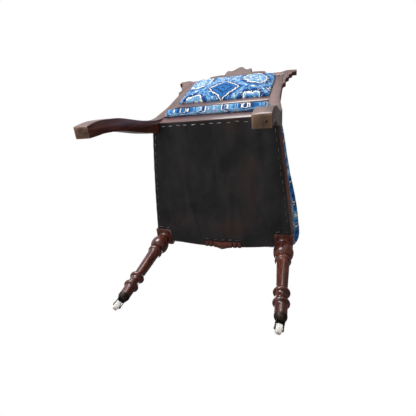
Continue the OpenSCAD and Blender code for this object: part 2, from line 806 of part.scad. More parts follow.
module caster_cup(right) {
    color(metal_dark) flip(right) difference() {
        front_leg_axis() rotate_extrude() difference() {
            polygon([[0, -cup_top_s], [cup_lip_r, -cup_top_s], [cup_lip_r, -cup_top_s - cup_h * 0.28],
                [ankle_d / 2, -cup_top_s - cup_h * 0.34], [ankle_d / 2, -stub_end_s],
                [plate_r + 1, -leg_axis_l], [plate_r + 1, -leg_axis_l - 4], [0, -leg_axis_l - 4]]);
            polygon([[-over, -cup_top_s + over], [stub_r + fit_gap, -cup_top_s + over],
                [stub_r + fit_gap, -stub_end_s], [-over, -stub_end_s]]);
        }
        caster_axis() {
            translate([-past / 2, -past / 2, cup_z - past]) cube(past);
            cylinder(d = spindle_d + 2 * run_gap, h = cup_z + 20);
        }
    }
}

module caster_fork(right) {
    color(metal_dark) caster(right) difference() {
        union() {
            translate([0, 0, plate_top - plate_t]) cylinder(r = plate_r, h = plate_t);
            translate([0, 0, plate_top - over]) cylinder(d = spindle_d, h = spindle_l + over);
            for (y = [fork_in, -fork_out]) front_view(y, y + prong_t) {
                polygon([[-6, plate_top - over], [6, plate_top - over],
                    [trail + 4.3, wheel_r], [trail - 4.3, wheel_r]]);
                translate([trail, wheel_r]) circle(4.3);
            }
        }
        translate([trail, 0, wheel_r]) rotate([90, 0, 0])
            cylinder(d = axle_d + 2 * hole_gap, h = 4 * fork_out, center = true);
    }
}

module caster_axle(right) {
    color(steel) caster(right) translate([trail, 0, wheel_r]) rotate([90, 0, 0]) {
        cylinder(d = axle_d, h = 2 * fork_out + 1.6, center = true);
        for (y = [fork_out, -fork_out - 0.8]) translate([0, 0, y]) cylinder(d = axle_d + 2.4, h = 0.8);
    }
}

wheel_profile = concat(
    [[axle_d / 2 + run_gap, -wheel_w / 2], [wheel_r * 0.45, -wheel_w / 2],
    [wheel_r * 0.55, -wheel_w / 2 + 1.6], [wheel_r - 4, -wheel_w / 2 + 1.6]],
    [for (p = arc([wheel_r - 3.5, -wheel_w / 2 + 4.6], 3, -80, 0, 5)) [p.x + 0.5, p.y]]);

module caster_wheel(right) {
    color(china) caster(right) translate([trail, 0, wheel_r]) rotate([90, 0, 0]) rotate_extrude()
        polygon(concat(wheel_profile, [for (p = reversed(wheel_profile)) [p.x, -p.y]]));
}

module caster_cup_left() {
    caster_cup(false);
}

module caster_fork_left() {
    caster_fork(false);
}

module caster_axle_left() {
    caster_axle(false);
}

module caster_wheel_left() {
    caster_wheel(false);
}

module caster_cup_right() {
    caster_cup(true);
}

module caster_fork_right() {
    caster_fork(true);
}

module caster_axle_right() {
    caster_axle(true);
}

module caster_wheel_right() {
    caster_wheel(true);
}

// Seat upholstery

// Width of the hem turned in round the black cloth, and how far the cloth lies inside the rails
hem_w = 4;
cover_edge = bevel_w + 1;
cover_front = 7;
hem_gap = 2;
strap_in = cover_edge + hem_w + hem_gap;
strap_along_x = [
    drop_half + 1 - pendant_shift + hem_w + hem_gap + strap_w / 2,
    rear_leg_in_x - 2 - hem_w - hem_gap - strap_w / 2];
strap_across_y = [-112, -38, 38, 112];
strap_low = seat_h - 2 * strap_t;

module seat_webbing_across() {
    color(jute) placed() for (y = strap_across_y) {
        reach = side_x(y + strap_w / 2) - strap_in;
        translate([-reach, y - strap_w / 2, seat_h - strap_t]) cube([2 * reach, strap_w, strap_t]);
    }
}

module seat_webbing_along() {
    strap_rear = plane_y(seat_h) - 7;
    fold = 12;
    color(jute) placed() for (x = strap_along_x) for (side = [1, -1]) {
        strap_front = front_y(x + strap_w / 2) + cover_front + hem_w + 1;
        translate([side * x - strap_w / 2, strap_front, strap_low]) {
            cube([strap_w, strap_rear - strap_front, strap_t]);
            cube([strap_w, fold, 2 * strap_t]);
            translate([0, strap_rear - strap_front - fold, 0]) cube([strap_w, fold, 2 * strap_t]);
        }
    }
}

// Springs stand on the webbing and carry the hessian
spring_low = seat_h + fit_gap;
spring_high = rail_top + dome_h - cloth_t - fit_gap;
spring_places = [[0, 0], [92, -105], [-92, -105], [88, 105], [-88, 105]];
spring_turns = 5;
spring_rings = 8;
spring_count = spring_turns * spring_rings;
spring_rise = spring_high - spring_low - wire_d;
function spring_at(k) = let (t = k / spring_count, a = 360 * k / spring_rings,
    r = (waist_d + (spring_d - waist_d) * pow(2 * t - 1, 2) - wire_d) / 2)
    [r * cos(a), r * sin(a), spring_low + wire_d / 2 + spring_rise * t];
spring_gap = min([for (k = [0:spring_count - spring_rings])
    norm(spring_at(k) - spring_at(k + spring_rings))]) - wire_d;
echo(spring_gap = spring_gap);

module coil() {
    sides = 6;
    points = [for (k = [0:spring_count]) let (p = spring_at(k), a = 360 * k / spring_rings)
        for (j = [0:sides - 1]) let (b = 360 * j / sides)
            p + wire_d / 2 * [cos(b) * cos(a), cos(b) * sin(a), sin(b)]];
    skin = [for (k = [0:spring_count - 1]) for (j = [0:sides - 1])
        let (a = k * sides + j, b = k * sides + (j + 1) % sides)
            each [[a, b, b + sides], [a, b + sides, a + sides]]];
    ends = [[for (j = [sides - 1:-1:0]) j], [for (j = [0:sides - 1]) spring_count * sides + j]];
    polyhedron(points, concat(skin, ends), convexity = 10);
}

module seat_springs() {
    color(steel) placed() for (p = spring_places) translate([p.x, p.y, 0]) coil();
}

// Half of the seat's plan from the front middle to the rear middle: point, normal and bulge
seat_front_y = block_front_y - front_lead;
seat_rear_y = plane_y(show_top);
function seat_front_edge(x) = mix(seat_front_y, block_front_y, pow(x / (block_in_x + 30), 2));
function side_bulge(y) = mix(bulge_rear_side, bulge_front_side,
    smoothstep((leg_front_y - 110 - y) / 180));
corner_c = [side_x(block_front_y + seat_corner_r) - seat_corner_r, block_front_y + seat_corner_r];
rear_r = 14;
rear_c = [side_x(seat_rear_y - rear_r) - rear_r, seat_rear_y - rear_r];
seat_half_plan = concat(
    [for (k = [0:5]) let (x = corner_c.x * k / 5.6) [x, seat_front_edge(x), 0, -1, bulge_ends]],
    [for (k = [0:4]) let (a = mix(-84, 0, k / 4)) [corner_c.x + seat_corner_r * cos(a),
        corner_c.y + seat_corner_r * sin(a), cos(a), sin(a),
        mix(bulge_ends, side_bulge(corner_c.y), k / 4)]],
    [for (k = [1:8]) let (y = mix(corner_c.y, rear_c.y, k / 9))
        [side_x(y), y, side_n.x, side_n.y, side_bulge(y)]],
    [for (k = [0:2]) let (a = 90 * k / 2) [rear_c.x + rear_r * cos(a), rear_c.y + rear_r * sin(a),
        cos(a), sin(a), mix(bulge_rear_side, bulge_ends, k / 2)]],
    [for (k = [4:-1:0]) [rear_c.x * k / 5, seat_rear_y, 0, 1, bulge_ends]]);
seat_plan = concat(seat_half_plan, [for (k = [len(seat_half_plan) - 2:-1:1])
    let (p = seat_half_plan[k]) [-p[0], p[1], -p[2], p[3], p[4]]]);

// Height above the rails' underside and share of the bulge, up the side of the seat
full_rise = full_h - show_h;
top_share = 0.6;
seat_sides = [[show_h + fit_gap, 0], [show_h + 0.2 * full_rise, 0.5], [show_h + 0.55 * full_rise, 0.88],
    [full_h, 1], [full_h + 14, 0.92], [full_h + 25, top_share]];
seat_edge_h = full_h + 25;
// Share of the plan and share of the crown, over the top of the seat
seat_tops = [[0.93, 0.32], [0.78, 0.68], [0.52, 0.91], [0.25, 0.99]];

module seat_form(inset, foot) {
    edge = [for (p = seat_plan) let (b = p[4] * top_share - inset) [p[0] + p[2] * b, p[1] + p[3] * b]];
    rise = crown_h - seat_edge_h;
    sides = [for (s = seat_sides) [for (p = seat_plan)
        let (b = p[4] * s[1] - inset, low = s[1] == 0 ? foot : 0)
            [p[0] + p[2] * b, p[1] + p[3] * b, seat_h + s[0] - low - inset * (s[0] > full_h ? 1 : 0)]]];
    tops = [for (t = seat_tops) [for (q = edge)
        [q.x * t[0], q.y * t[0], seat_h + seat_edge_h + rise * t[1] - inset]]];
    loft(concat(sides, tops), [0, 0, sides[0][0].z], [0, 0, seat_h + crown_h - inset]);
}

// Space that the rails, the leg blocks and the posts take out of the seat's soft parts
frame_plan = concat(
    [for (k = [0:8]) let (x = (block_in_x) * k / 8) [x, front_y(x, rebate)]],
    [[block_in_x, block_front_y + rebate], [seat_w_front / 2 - rebate, block_front_y + rebate],
    [seat_w_front / 2 - rebate, block_rear_y]],
    [for (k = [0:10]) let (y = mix(block_rear_y, leg_front_y, k / 10)) [side_x(y, rebate), y]],
    [[side_x(leg_front_y, rebate), seat_rear_y - rebate], [0, seat_rear_y - rebate]]);

module frame_space(gap) {
    translate([0, 0, seat_h]) linear_extrude(rail_h + gap) {
        for (side = [false, true]) flip(side) offset(delta = gap) polygon(frame_plan);
    }
    side_view(-past / 2, past / 2) polygon([
        [seat_rear_y - rail_t, show_top - over], [plane_y(show_top) - rebate + gap, show_top - over],
        [plane_y(rail_top) - rebate + gap, rail_top + gap], [seat_rear_y - rail_t, rail_top + gap]]);
}

module post_space(gap) {
    for (side = [false, true]) flip(side) front_view(leg_front_y - gap, past)
        polygon(concat([for (p = leg_inner_line) [p.x - gap, p.y]], [[past, post_end_z], [past, 0]]));
}

// The hessian is tacked on the rails and lifted over the springs
dome_shares = [[0.965, 0], [0.93, 0.1], [0.82, 0.75], [0.7, 1]];

module dome(drop, deeper = 0, wider = 0) {
    base = rail_top + fit_gap + cloth_t;
    levels = concat([[dome_shares[0][0], base - cloth_t - drop - deeper]],
        [for (d = dome_shares) [d[0], base + (dome_h - cloth_t - fit_gap) * d[1] - drop]]);
    loft([for (l = levels) [for (p = seat_plan) [p[0] * (l[0] + wider), p[1] * (l[0] + wider), l[1]]]],
        [0, 0, levels[0][1]], [0, 0, rail_top + dome_h - drop]);
}

module seat_hessian() {
    color(jute) placed() difference() {
        dome(0);
        dome(cloth_t);
        post_space(fit_gap);
    }
}

module seat_padding() {
    color(felt) placed() difference() {
        seat_form(cover_t + fit_gap, 0);
        frame_space(fit_gap);
        dome(-fit_gap, 2 * fit_gap + over, 0.002);
        post_space(fit_gap);
    }
}

module seat_cover() {
    color(cloth_blue) placed() difference() {
        seat_form(0, 0);
        seat_form(cover_t, over);
        frame_space(fit_gap);
        post_space(fit_gap);
    }
}

// The black cloth under the seat is cut round the legs and the pendant
function dust_half(reach) = concat(
    [[0, pendant_rear_y + 1], [reach, pendant_rear_y + 1], [reach, front_y(reach) + cover_front]],
    [for (k = [1:7]) let (x = mix(reach, block_in_x - 1, k / 7)) [x, front_y(x) + cover_front]],
    [[block_in_x - 1, block_rear_y + 1]],
    [for (k = [0:9]) let (y = mix(block_rear_y + 1, leg_front_y - 1, k / 9)) [side_x(y) - cover_edge, y]],
    [[rear_leg_in_x - 2, leg_front_y - 1], [rear_leg_in_x - 2, plane_y(seat_h) - 2],
    [0, plane_y(seat_h) - 2]]);
dust_plan = concat(
    dust_half(drop_half + pendant_shift + 1), mirrored(dust_half(drop_half - pendant_shift + 1)));

module dust_cover() {
    color(black_cloth) placed() {
        translate([0, 0, strap_low - cloth_t]) linear_extrude(cloth_t) polygon(dust_plan);
        translate([0, 0, strap_low - cloth_t]) linear_extrude(2 * strap_t + cloth_t) difference() {
            polygon(dust_plan);
            offset(delta = -hem_w) polygon(dust_plan);
        }
    }
}

// Back upholstery, from the rear face to the front

module trapezoid_form(m, foot, edge, crown) {
    r = 14;
    low = open_low - m + r;
    high = open_top + m - r;
    function half(v) = open_half(v) + m;
    corners = [[half(low) - r, low], [half(high) - r, high]];
    half_plan = concat([[0, open_low - m]],
        [for (k = [1:2]) [corners[0].x * k / 3, open_low - m]],
        arc(corners[0], r, -90, 0, 3),
        [for (k = [1:3]) let (v = mix(low, high, k / 4)) [half(v), v]],
        arc(corners[1], r, 0, 90, 3),
        [for (k = [2:-1:1]) [corners[1].x * k / 3, open_top + m]], [[0, open_top + m]]);
    plan = concat(half_plan, [for (k = [len(half_plan) - 2:-1:1]) [-half_plan[k].x, half_plan[k].y]]);
    mid = [0, (open_low + open_top) / 2];
    levels = [[1, foot], [1, edge], [0.985, edge + crown * 0.24], [0.94, edge + crown * 0.5],
        [0.8, edge + crown * 0.8], [0.5, edge + crown * 0.97]];
    loft([for (l = levels) [for (p = plan) [p.x * l[0], mid.y + (p.y - mid.y) * l[0], l[1]]]],
        [0, mid.y, foot], [0, mid.y, edge + crown]);
}

web_layer = pad_seat + fit_gap;

module back_webbing() {
    color(jute) on_back() front_view(-web_layer - strap_t, -web_layer) {
        for (x = [-85, 0, 85])
            translate([x - strap_w / 2, open_low - pad_step + 2]) square([strap_w, open_h + 2 * pad_step - 4]);
        for (k = [1, 2]) let (v = open_low + open_h * k / 3)
            translate([-open_half(v) - pad_step + 3, v - strap_w / 2])
                square([2 * open_half(v) + 2 * pad_step - 6, strap_w]);
    }
}

module back_hessian() {
    color(jute) on_back() front_view(-web_layer - strap_t - cloth_t, -web_layer - strap_t)
        opening(pad_step - 2);
}

module back_pad() {
    color(cloth_blue) on_back() rotate([90, 0, 0])
        trapezoid_form(pad_step - fit_gap, web_layer + strap_t + cloth_t, back_t - 1, pad_crown);
}

module outside_back_panel() {
    color(cloth_blue) on_back() rotate([90, 0, 0]) mirror([0, 0, 1])
        trapezoid_form(-fit_gap, -pad_seat + 4, 0, panel_crown);
}

rear_leg_left();
rear_leg_right();
front_leg_left();
front_leg_right();
front_rail();
rear_rail();
side_rail_left();
side_rail_right();
corner_blocks();
corner_screws();
seat_dowels();
front_pendant();
back_cross_rail();
crest_rail();
crest_pediment();
ear_left();
ear_right();
back_dowels();
caster_cup_left();
caster_fork_left();
caster_axle_left();
caster_wheel_left();
caster_cup_right();
caster_fork_right();
caster_axle_right();
caster_wheel_right();
seat_webbing_across();
seat_webbing_along();
seat_springs();
seat_hessian();
seat_padding();
seat_cover();
dust_cover();
back_webbing();
back_hessian();
back_pad();
outside_back_panel();
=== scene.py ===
import math
import random

import bmesh
import bpy
from mathutils import Matrix, Vector, noise


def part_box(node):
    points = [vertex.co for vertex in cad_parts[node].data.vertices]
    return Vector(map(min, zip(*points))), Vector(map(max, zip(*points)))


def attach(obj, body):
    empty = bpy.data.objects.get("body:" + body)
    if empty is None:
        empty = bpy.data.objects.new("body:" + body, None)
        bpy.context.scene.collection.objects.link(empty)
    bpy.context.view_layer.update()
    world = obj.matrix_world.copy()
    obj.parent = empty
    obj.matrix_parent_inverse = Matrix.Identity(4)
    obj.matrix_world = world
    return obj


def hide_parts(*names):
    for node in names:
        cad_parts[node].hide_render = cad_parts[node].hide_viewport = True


bl_info = {
    "name": "Parlour side chair",
    "version": (1, 0, 0),
    "blender": (4, 5, 0),
    "location": "3D View > Sidebar > Chair",
    "description": "Dresses the packed frame of an armless parlour side chair with polished "
                   "walnut, a figured woven cloth, a black under cloth and china casters",
    "category": "Object",
}

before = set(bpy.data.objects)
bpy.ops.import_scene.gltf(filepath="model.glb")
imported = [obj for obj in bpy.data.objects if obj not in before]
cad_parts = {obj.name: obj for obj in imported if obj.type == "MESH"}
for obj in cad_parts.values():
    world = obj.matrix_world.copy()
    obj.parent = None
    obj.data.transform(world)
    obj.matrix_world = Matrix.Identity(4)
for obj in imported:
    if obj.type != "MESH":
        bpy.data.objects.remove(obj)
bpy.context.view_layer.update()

MM = 0.001
SIDES = ("left", "right")


def srgb(code):
    """An sRGB hex colour as linear red, green, blue and alpha."""
    parts = [int(code[k:k + 2], 16) / 255 for k in (0, 2, 4)]
    return (*[p / 12.92 if p <= 0.04045 else ((p + 0.055) / 1.055) ** 2.4 for p in parts], 1.0)


# Settings a user would change


def colour_setting(name, description, code):
    """A colour that a user may pick."""
    return bpy.props.FloatVectorProperty(
        name=name, description=description, subtype="COLOR", size=4, min=0, max=1,
        default=srgb(code))


def length_setting(name, description, low, high, usual):
    """A length in metres with its limits."""
    return bpy.props.FloatProperty(
        name=name, description=description, subtype="DISTANCE", min=low, max=high, default=usual)


def level_setting(name, description, low, high, usual):
    """A plain number with its limits."""
    return bpy.props.FloatProperty(
        name=name, description=description, min=low, max=high, default=usual)


class WalnutSettings(bpy.types.PropertyGroup):
    """The polished frame."""

    deep: colour_setting("Deep colour", "Darkest lines of the grain", "30140f")
    middle: colour_setting("Middle colour", "Most of the wood between the lines", "4b231b")
    light: colour_setting("Light colour", "Palest part of the grain", "6d3a2d")
    edge: length_setting(
        "Eased edge", "Width of the sanded arris on the joinery", 0.0002, 0.003, 0.0011)


class ClothSettings(bpy.types.PropertyGroup):
    """The figured cloth of the seat and the back."""

    deep: colour_setting("Deep blue", "Ground of the diamonds", "103d72")
    middle: colour_setting("Middle blue", "Bands round the motifs", "2069a9")
    pale: colour_setting("Pale blue", "Straps between the motifs", "6ea2c9")
    cream: colour_setting("Cream", "Outlines of the motifs", "f0eee2")
    repeat_width: length_setting(
        "Repeat width", "Width of one repeat of the pattern", 0.1, 0.4, 0.208)
    repeat_height: length_setting(
        "Repeat height", "Height of one repeat of the pattern", 0.1, 0.4, 0.18)


class CushionSettings(bpy.types.PropertyGroup):
    """How the stuffed pieces are made."""

    voxel: length_setting(
        "Cell", "Cell size of the mesh that the stuffing swells", 0.004, 0.01, 0.0055)
    pressure: level_setting("Pressure", "Pressure of the stuffing", 0.5, 8, 3.0)
    swell: length_setting("Swell", "Most that the cloth may move", 0.002, 0.03, 0.008)


class UnderClothSettings(bpy.types.PropertyGroup):
    """The black cloth under the seat and its staples."""

    cell: length_setting("Cell", "Distance between the points of the cloth", 0.003, 0.02, 0.005)
    sag: length_setting("Sag", "How far the middle of the cloth hangs", 0, 0.01, 0.003)
    staple_pitch: length_setting(
        "Staple spacing", "Distance from one staple to the next", 0.015, 0.06, 0.026)
    staple_length: length_setting(
        "Staple length", "Width of a staple's crown", 0.006, 0.016, 0.0115)
    staple_inset: length_setting(
        "Staple inset", "Distance of the staples from the cloth's edge", 0.004, 0.02, 0.009)


class StudioSettings(bpy.types.PropertyGroup):
    """The light and the floor."""

    key_power: level_setting("Key lamp", "Power of the large lamp behind the chair", 0, 400, 76)
    fill_power: level_setting("Fill lamp", "Power of the lamp on the camera's side", 0, 400, 5.0)
    ambient: level_setting("Ambient", "Strength of the white light from all round", 0, 1, 0.34)


# Small tools for editing meshes


def pick(piece):
    """Leaves edit mode and selects this piece alone."""
    if bpy.context.object and bpy.context.object.mode != "OBJECT":
        bpy.ops.object.mode_set(mode="OBJECT")
    bpy.ops.object.select_all(action="DESELECT")
    piece.select_set(True)
    bpy.context.view_layer.objects.active = piece


def edit(piece, kind="FACE"):
    """Opens this piece in edit mode with nothing selected."""
    pick(piece)
    bpy.ops.object.mode_set(mode="EDIT")
    bpy.ops.mesh.select_mode(type=kind)
    bpy.ops.mesh.select_all(action="DESELECT")


def select_faces(piece, test):
    """Opens this piece in edit mode with the faces that pass the test selected."""
    edit(piece, "FACE")
    shape = bmesh.from_edit_mesh(piece.data)
    for face in shape.faces:
        face.select_set(test(face))
    bmesh.update_edit_mesh(piece.data)


def select_edges(piece, test):
    """The same for edges between two faces."""
    edit(piece, "EDGE")
    shape = bmesh.from_edit_mesh(piece.data)
    for edge in shape.edges:
        if len(edge.link_faces) == 2 and test(edge):
            edge.select_set(True)
    bmesh.update_edit_mesh(piece.data)


def apply_all(piece):
    """Applies the piece's modifiers in order."""
    pick(piece)
    for modifier in list(piece.modifiers):
        bpy.ops.object.modifier_apply(modifier=modifier.name)


def copy_of(node, name, whole_faces=True):
    """A copy of a CAD node's mesh with its triangles merged into one skin."""
    piece = bpy.data.objects.new(name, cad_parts[node].data.copy())
    bpy.context.scene.collection.objects.link(piece)
    piece.data.materials.clear()
    edit(piece)
    bpy.ops.mesh.customdata_custom_splitnormals_clear()
    bpy.ops.mesh.select_all(action="SELECT")
    bpy.ops.mesh.remove_doubles(threshold=0.00001)
    if whole_faces:
        bpy.ops.mesh.dissolve_limited(angle_limit=math.radians(0.5))
    pick(piece)
    return piece


def joined(pieces, name):
    """All these pieces as one, under a new name."""
    pick(pieces[0])
    for piece in pieces:
        piece.select_set(True)
    bpy.ops.object.join()
    pieces[0].name = name
    pieces[0].data.name = name
    return pieces[0]


def smooth(piece, angle=35):
    """Shades the piece smooth, with creases where faces meet at more than the angle."""
    pick(piece)
    bpy.ops.object.shade_smooth_by_angle(angle=math.radians(angle))


def ease_edges(piece, width, sharp=30, where=None):
    """Rounds the arrises as sanding does, where the faces meet at more than the sharp angle."""
    limit = math.radians(sharp)
    select_edges(piece, lambda e: e.is_convex and e.calc_face_angle(0) > limit
                 and (where is None or where((e.verts[0].co + e.verts[1].co) / 2)))
    bpy.ops.mesh.bevel(offset=width, segments=2, affect="EDGES", clamp_overlap=False)
    pick(piece)


def settle(piece, material, body, slot, *nodes):
    """Finishes a piece: its material, the body that carries it and the nodes that it stands for."""
    if material is not None:
        piece.data.materials.clear()
        piece.data.materials.append(material)
    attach(piece, body)
    if nodes:
        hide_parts(*nodes)


# Materials


def fill(tree, node, inputs):
    """Fills a node's sockets, by name or in order, with values, sockets or nodes' first outputs."""
    if isinstance(inputs, dict):
        pairs = [(node.inputs[name], value) for name, value in inputs.items()]
    else:
        pairs = zip([socket for socket in node.inputs if socket.enabled], inputs)
    for socket, value in pairs:
        if isinstance(value, bpy.types.Node):
            value = next(output for output in value.outputs if output.enabled)
        if isinstance(value, bpy.types.NodeSocket):
            tree.links.new(value, socket)
        else:
            socket.default_value = value


def add(tree, kind, inputs=(), **settings):
    """Adds a shader node with its settings and its inputs."""
    made = tree.nodes.new("ShaderNode" + kind)
    for name, value in settings.items():
        setattr(made, name, value)
    fill(tree, made, inputs)
    return made


def calc(tree, operation, *values):
    """A Math node."""
    return add(tree, "Math", values, operation=operation)


def vector(tree, operation, *values):
    """A Vector Math node."""
    return add(tree, "VectorMath", values, operation=operation)


def spread(tree, value, low, high, new_low, new_high, **settings):
    """Maps the range from low to high onto a new range."""
    return add(tree, "MapRange", {
        "Value": value, "From Min": low, "From Max": high, "To Min": new_low,
        "To Max": new_high}, **settings)


def mottle(tree, place, scale, detail, stretch=None, roughness=0.5, distortion=0):
    """A Noise texture, whose first output is its plain value."""
    if stretch:
        place = add(tree, "Mapping", {"Vector": place, "Scale": stretch})
    return add(tree, "TexNoise", {
        "Vector": place, "Scale": scale, "Detail": detail, "Roughness": roughness,
        "Distortion": distortion})


def ramp(tree, value, *stops, hard=False):
    """Colours along a value. Each stop is a position and a colour, or its code."""
    made = add(tree, "ValToRGB", [value])
    elements = made.color_ramp.elements
    while len(elements) < len(stops):
        elements.new(0.5)
    for element, (position, colour) in zip(elements, stops):
        element.position = position
        element.color = srgb(colour) if isinstance(colour, str) else colour
    if hard:
        made.color_ramp.interpolation = "CONSTANT"
    return made


def relief(tree, height, strength, distance):
    """A Bump node for a shader's Normal."""
    return add(tree, "Bump", {"Height": height, "Strength": strength, "Distance": distance})


def start(name, cloth_map=None):
    """A new material, its node tree, its Principled shader and the place that its marks follow."""
    material = bpy.data.materials.new(name)
    material.use_nodes = True
    tree = material.node_tree
    if cloth_map:
        place = add(tree, "UVMap", uv_map=cloth_map).outputs["UV"]
    else:
        place = add(tree, "TexCoord").outputs["Object"]
    return material, tree, tree.nodes["Principled BSDF"], place


# Width of one knot of the figured cloth
KNOT = 0.0024
# Roughness of the polish: a lathe leaves the turned legs glossier than the joinery
FRAME_POLISH, TURNED_POLISH = 0.34, 0.22


def wave_scale(thread):
    """The Wave texture's scale at which one full wave covers two threads."""
    return 1 / thread / 6.28


def polished_walnut(grain, polish=FRAME_POLISH):
    """French-polished walnut: a thin gloss over dark open grain that runs along one axis."""
    walnut = bpy.context.scene.chair_walnut
    material, tree, shader, place = start(f"french_polished_walnut_{grain.lower()}")
    # Lines of grain are 2 to 4 mm apart and run for about 90 mm
    along = {"X": (0.05, 1, 1), "Y": (1, 0.05, 1), "Z": (1, 1, 0.05)}[grain]
    flow = add(tree, "Mapping", {"Vector": place, "Scale": along})
    wander = mottle(tree, flow, 14, 2).outputs["Color"]
    bent = vector(tree, "ADD", flow, vector(tree, "MULTIPLY", wander, (0.02, 0.02, 0.02)))
    lines = mottle(tree, bent, 230, 4, roughness=0.62)
    bands = mottle(tree, bent, 34, 2)
    tone = calc(tree, "ADD", calc(tree, "MULTIPLY", lines, 0.55),
                calc(tree, "MULTIPLY", bands, 0.45))
    # Old polish is duller in patches the size of a hand
    dull = spread(tree, mottle(tree, place, 11, 3), 0, 1, polish * 0.8, polish * 1.35)
    # Pores leave fine grooves under the polish
    grooves = relief(tree, lines, (polish - 0.19) * 0.4, 0.0005)
    fill(tree, shader, {
        "Base Color": ramp(
            tree, tone, (0.36, walnut.deep), (0.50, walnut.middle), (0.64, walnut.light)),
        "Roughness": dull, "Normal": grooves, "IOR": 1.5, "Coat Weight": 0.45,
        "Coat Roughness": 0.16})
    return material


def sawn_end_grain():
    """The unpolished end of a walnut leg: saw marks, rings and ground-in dirt."""
    material, tree, shader, place = start("sawn_walnut_end_grain")
    rings = add(tree, "TexWave", {
        "Vector": add(tree, "Mapping", {"Vector": place, "Rotation": (0, 0, 0.5)}),
        "Scale": 55, "Distortion": 5, "Detail": 3, "Detail Scale": 1.2}).outputs["Fac"]
    dirt = mottle(tree, place, 55, 6)
    tone = calc(tree, "ADD", calc(tree, "MULTIPLY", rings, 0.06),
                calc(tree, "MULTIPLY", dirt, 0.94))
    colour = ramp(tree, tone, (0.28, "7d675a"), (0.44, "ab9181"), (0.56, "b89f8c"),
                  (0.68, "c08a62"))
    fill(tree, shader, {
        "Base Color": colour, "Roughness": 0.8, "Normal": relief(tree, dirt, 0.3, 0.0005)})
    return material


def dark_stopping():
    """Wax stopping over a screw in the post: nearly black and dull, with grey dust in its pits."""
    material, tree, shader, place = start("dark_wax_stopping")
    pits = mottle(tree, place, 600, 4)
    fill(tree, shader, {
        "Base Color": ramp(tree, pits, (0.40, "120c0a"), (0.60, "1f1613"), (0.72, "3a322d")),
        "Roughness": 0.7, "Specular IOR Level": 0.2, "Normal": relief(tree, pits, 0.3, 0.0003)})
    return material


def planed_beech():
    """Glued blocks and dowels inside the frame: pale beech with short flecks."""
    material, tree, shader, place = start("planed_beech")
    flecks = mottle(tree, place, 160, 4, stretch=(1, 1, 6))
    fill(tree, shader, {
        "Base Color": ramp(tree, flecks, (0.35, "8a6544"), (0.65, "b08a62")),
        "Roughness": 0.65, "Normal": relief(tree, flecks, 0.15, 0.0005)})
    return material


def japanned_iron():
    """Cast caster cups and forks: black japan worn to brown bronze on the edges."""
    material, tree, shader, place = start("japanned_cast_iron")
    cast = mottle(tree, place, 320, 5)
    wear = calc(tree, "ADD", add(tree, "NewGeometry").outputs["Pointiness"],
                calc(tree, "MULTIPLY", cast, 0.12))
    fill(tree, shader, {
        "Base Color": ramp(tree, wear, (0.53, "211a18"), (0.60, "3c3029"), (0.68, "6a5545")),
        "Metallic": 0.75, "Roughness": 0.46, "Normal": relief(tree, cast, 0.25, 0.0003)})
    return material


def drawn_steel(name, tint, shine):
    """Drawn steel wire and turned steel pins, with lengthwise marks and some tarnish."""
    material, tree, shader, place = start(name)
    marks = mottle(tree, place, 420, 3)
    fill(tree, shader, {
        "Base Color": ramp(tree, marks, (0.3, "5b534a"), (0.6, tint)), "Metallic": 1.0,
        "Roughness": spread(tree, marks, 0, 1, shine, shine + 0.18)})
    return material


def glazed_china():
    """Caster wheels of white china: a clear glaze with fine grey scuffs round the tread."""
    material, tree, shader, place = start("glazed_china")
    scuffs = mottle(tree, place, 260, 6)
    fill(tree, shader, {
        "Base Color": ramp(tree, scuffs, (0.28, "a8a196"), (0.38, "e6e2da"), (0.7, "f3f0ea")),
        "Roughness": spread(tree, scuffs, 0, 1, 0.32, 0.12), "IOR": 1.54, "Coat Weight": 0.5,
        "Coat Roughness": 0.06})
    return material


def jute(name, thread, dark, light):
    """Jute webbing or hessian: plain weave, one thread over and one under."""
    material, tree, shader, place = start(name)
    weft, warp = [add(tree, "TexWave", {
        "Vector": place, "Scale": wave_scale(thread), "Distortion": 0.6},
        bands_direction=way).outputs["Fac"] for way in "XY"]
    weave = calc(tree, "MAXIMUM", weft, warp)
    tone = calc(tree, "MULTIPLY", weave, mottle(tree, place, 140, 4))
    fill(tree, shader, {
        "Base Color": ramp(tree, tone, (0.15, dark), (0.6, light)), "Roughness": 0.92,
        "Normal": relief(tree, weave, 0.5, thread * 0.3)})
    return material


def black_cambric():
    """Black glazed cambric: faded cotton with brown dust in it and a fine weave."""
    material, tree, shader, place = start("black_cambric")
    dust = mottle(tree, place, 6, 6, roughness=0.6)
    colour = ramp(tree, dust, (0.38, "212022"), (0.54, "2b292b"), (0.70, "3a2c26"))
    # Painted shade and light of soft folds, a hand's breadth apart and running from front to back,
    # darken and lighten the cloth's colour
    painted_fold_shading = mottle(tree, place, 24, 3, stretch=(1, 0.22, 1), distortion=0.8)
    shade = spread(tree, painted_fold_shading, 0.3, 0.7, 0.68, 1.22)
    # Threads are 0.5 mm apart in such cloth, drawn here at 1.5 mm so that they show
    weave = mottle(tree, place, 700, 1)
    fill(tree, shader, {
        "Base Color": vector(tree, "MULTIPLY", colour, shade), "Roughness": 0.72,
        "Specular IOR Level": 0.25, "Normal": relief(tree, weave, 0.25, 0.0004)})
    return material


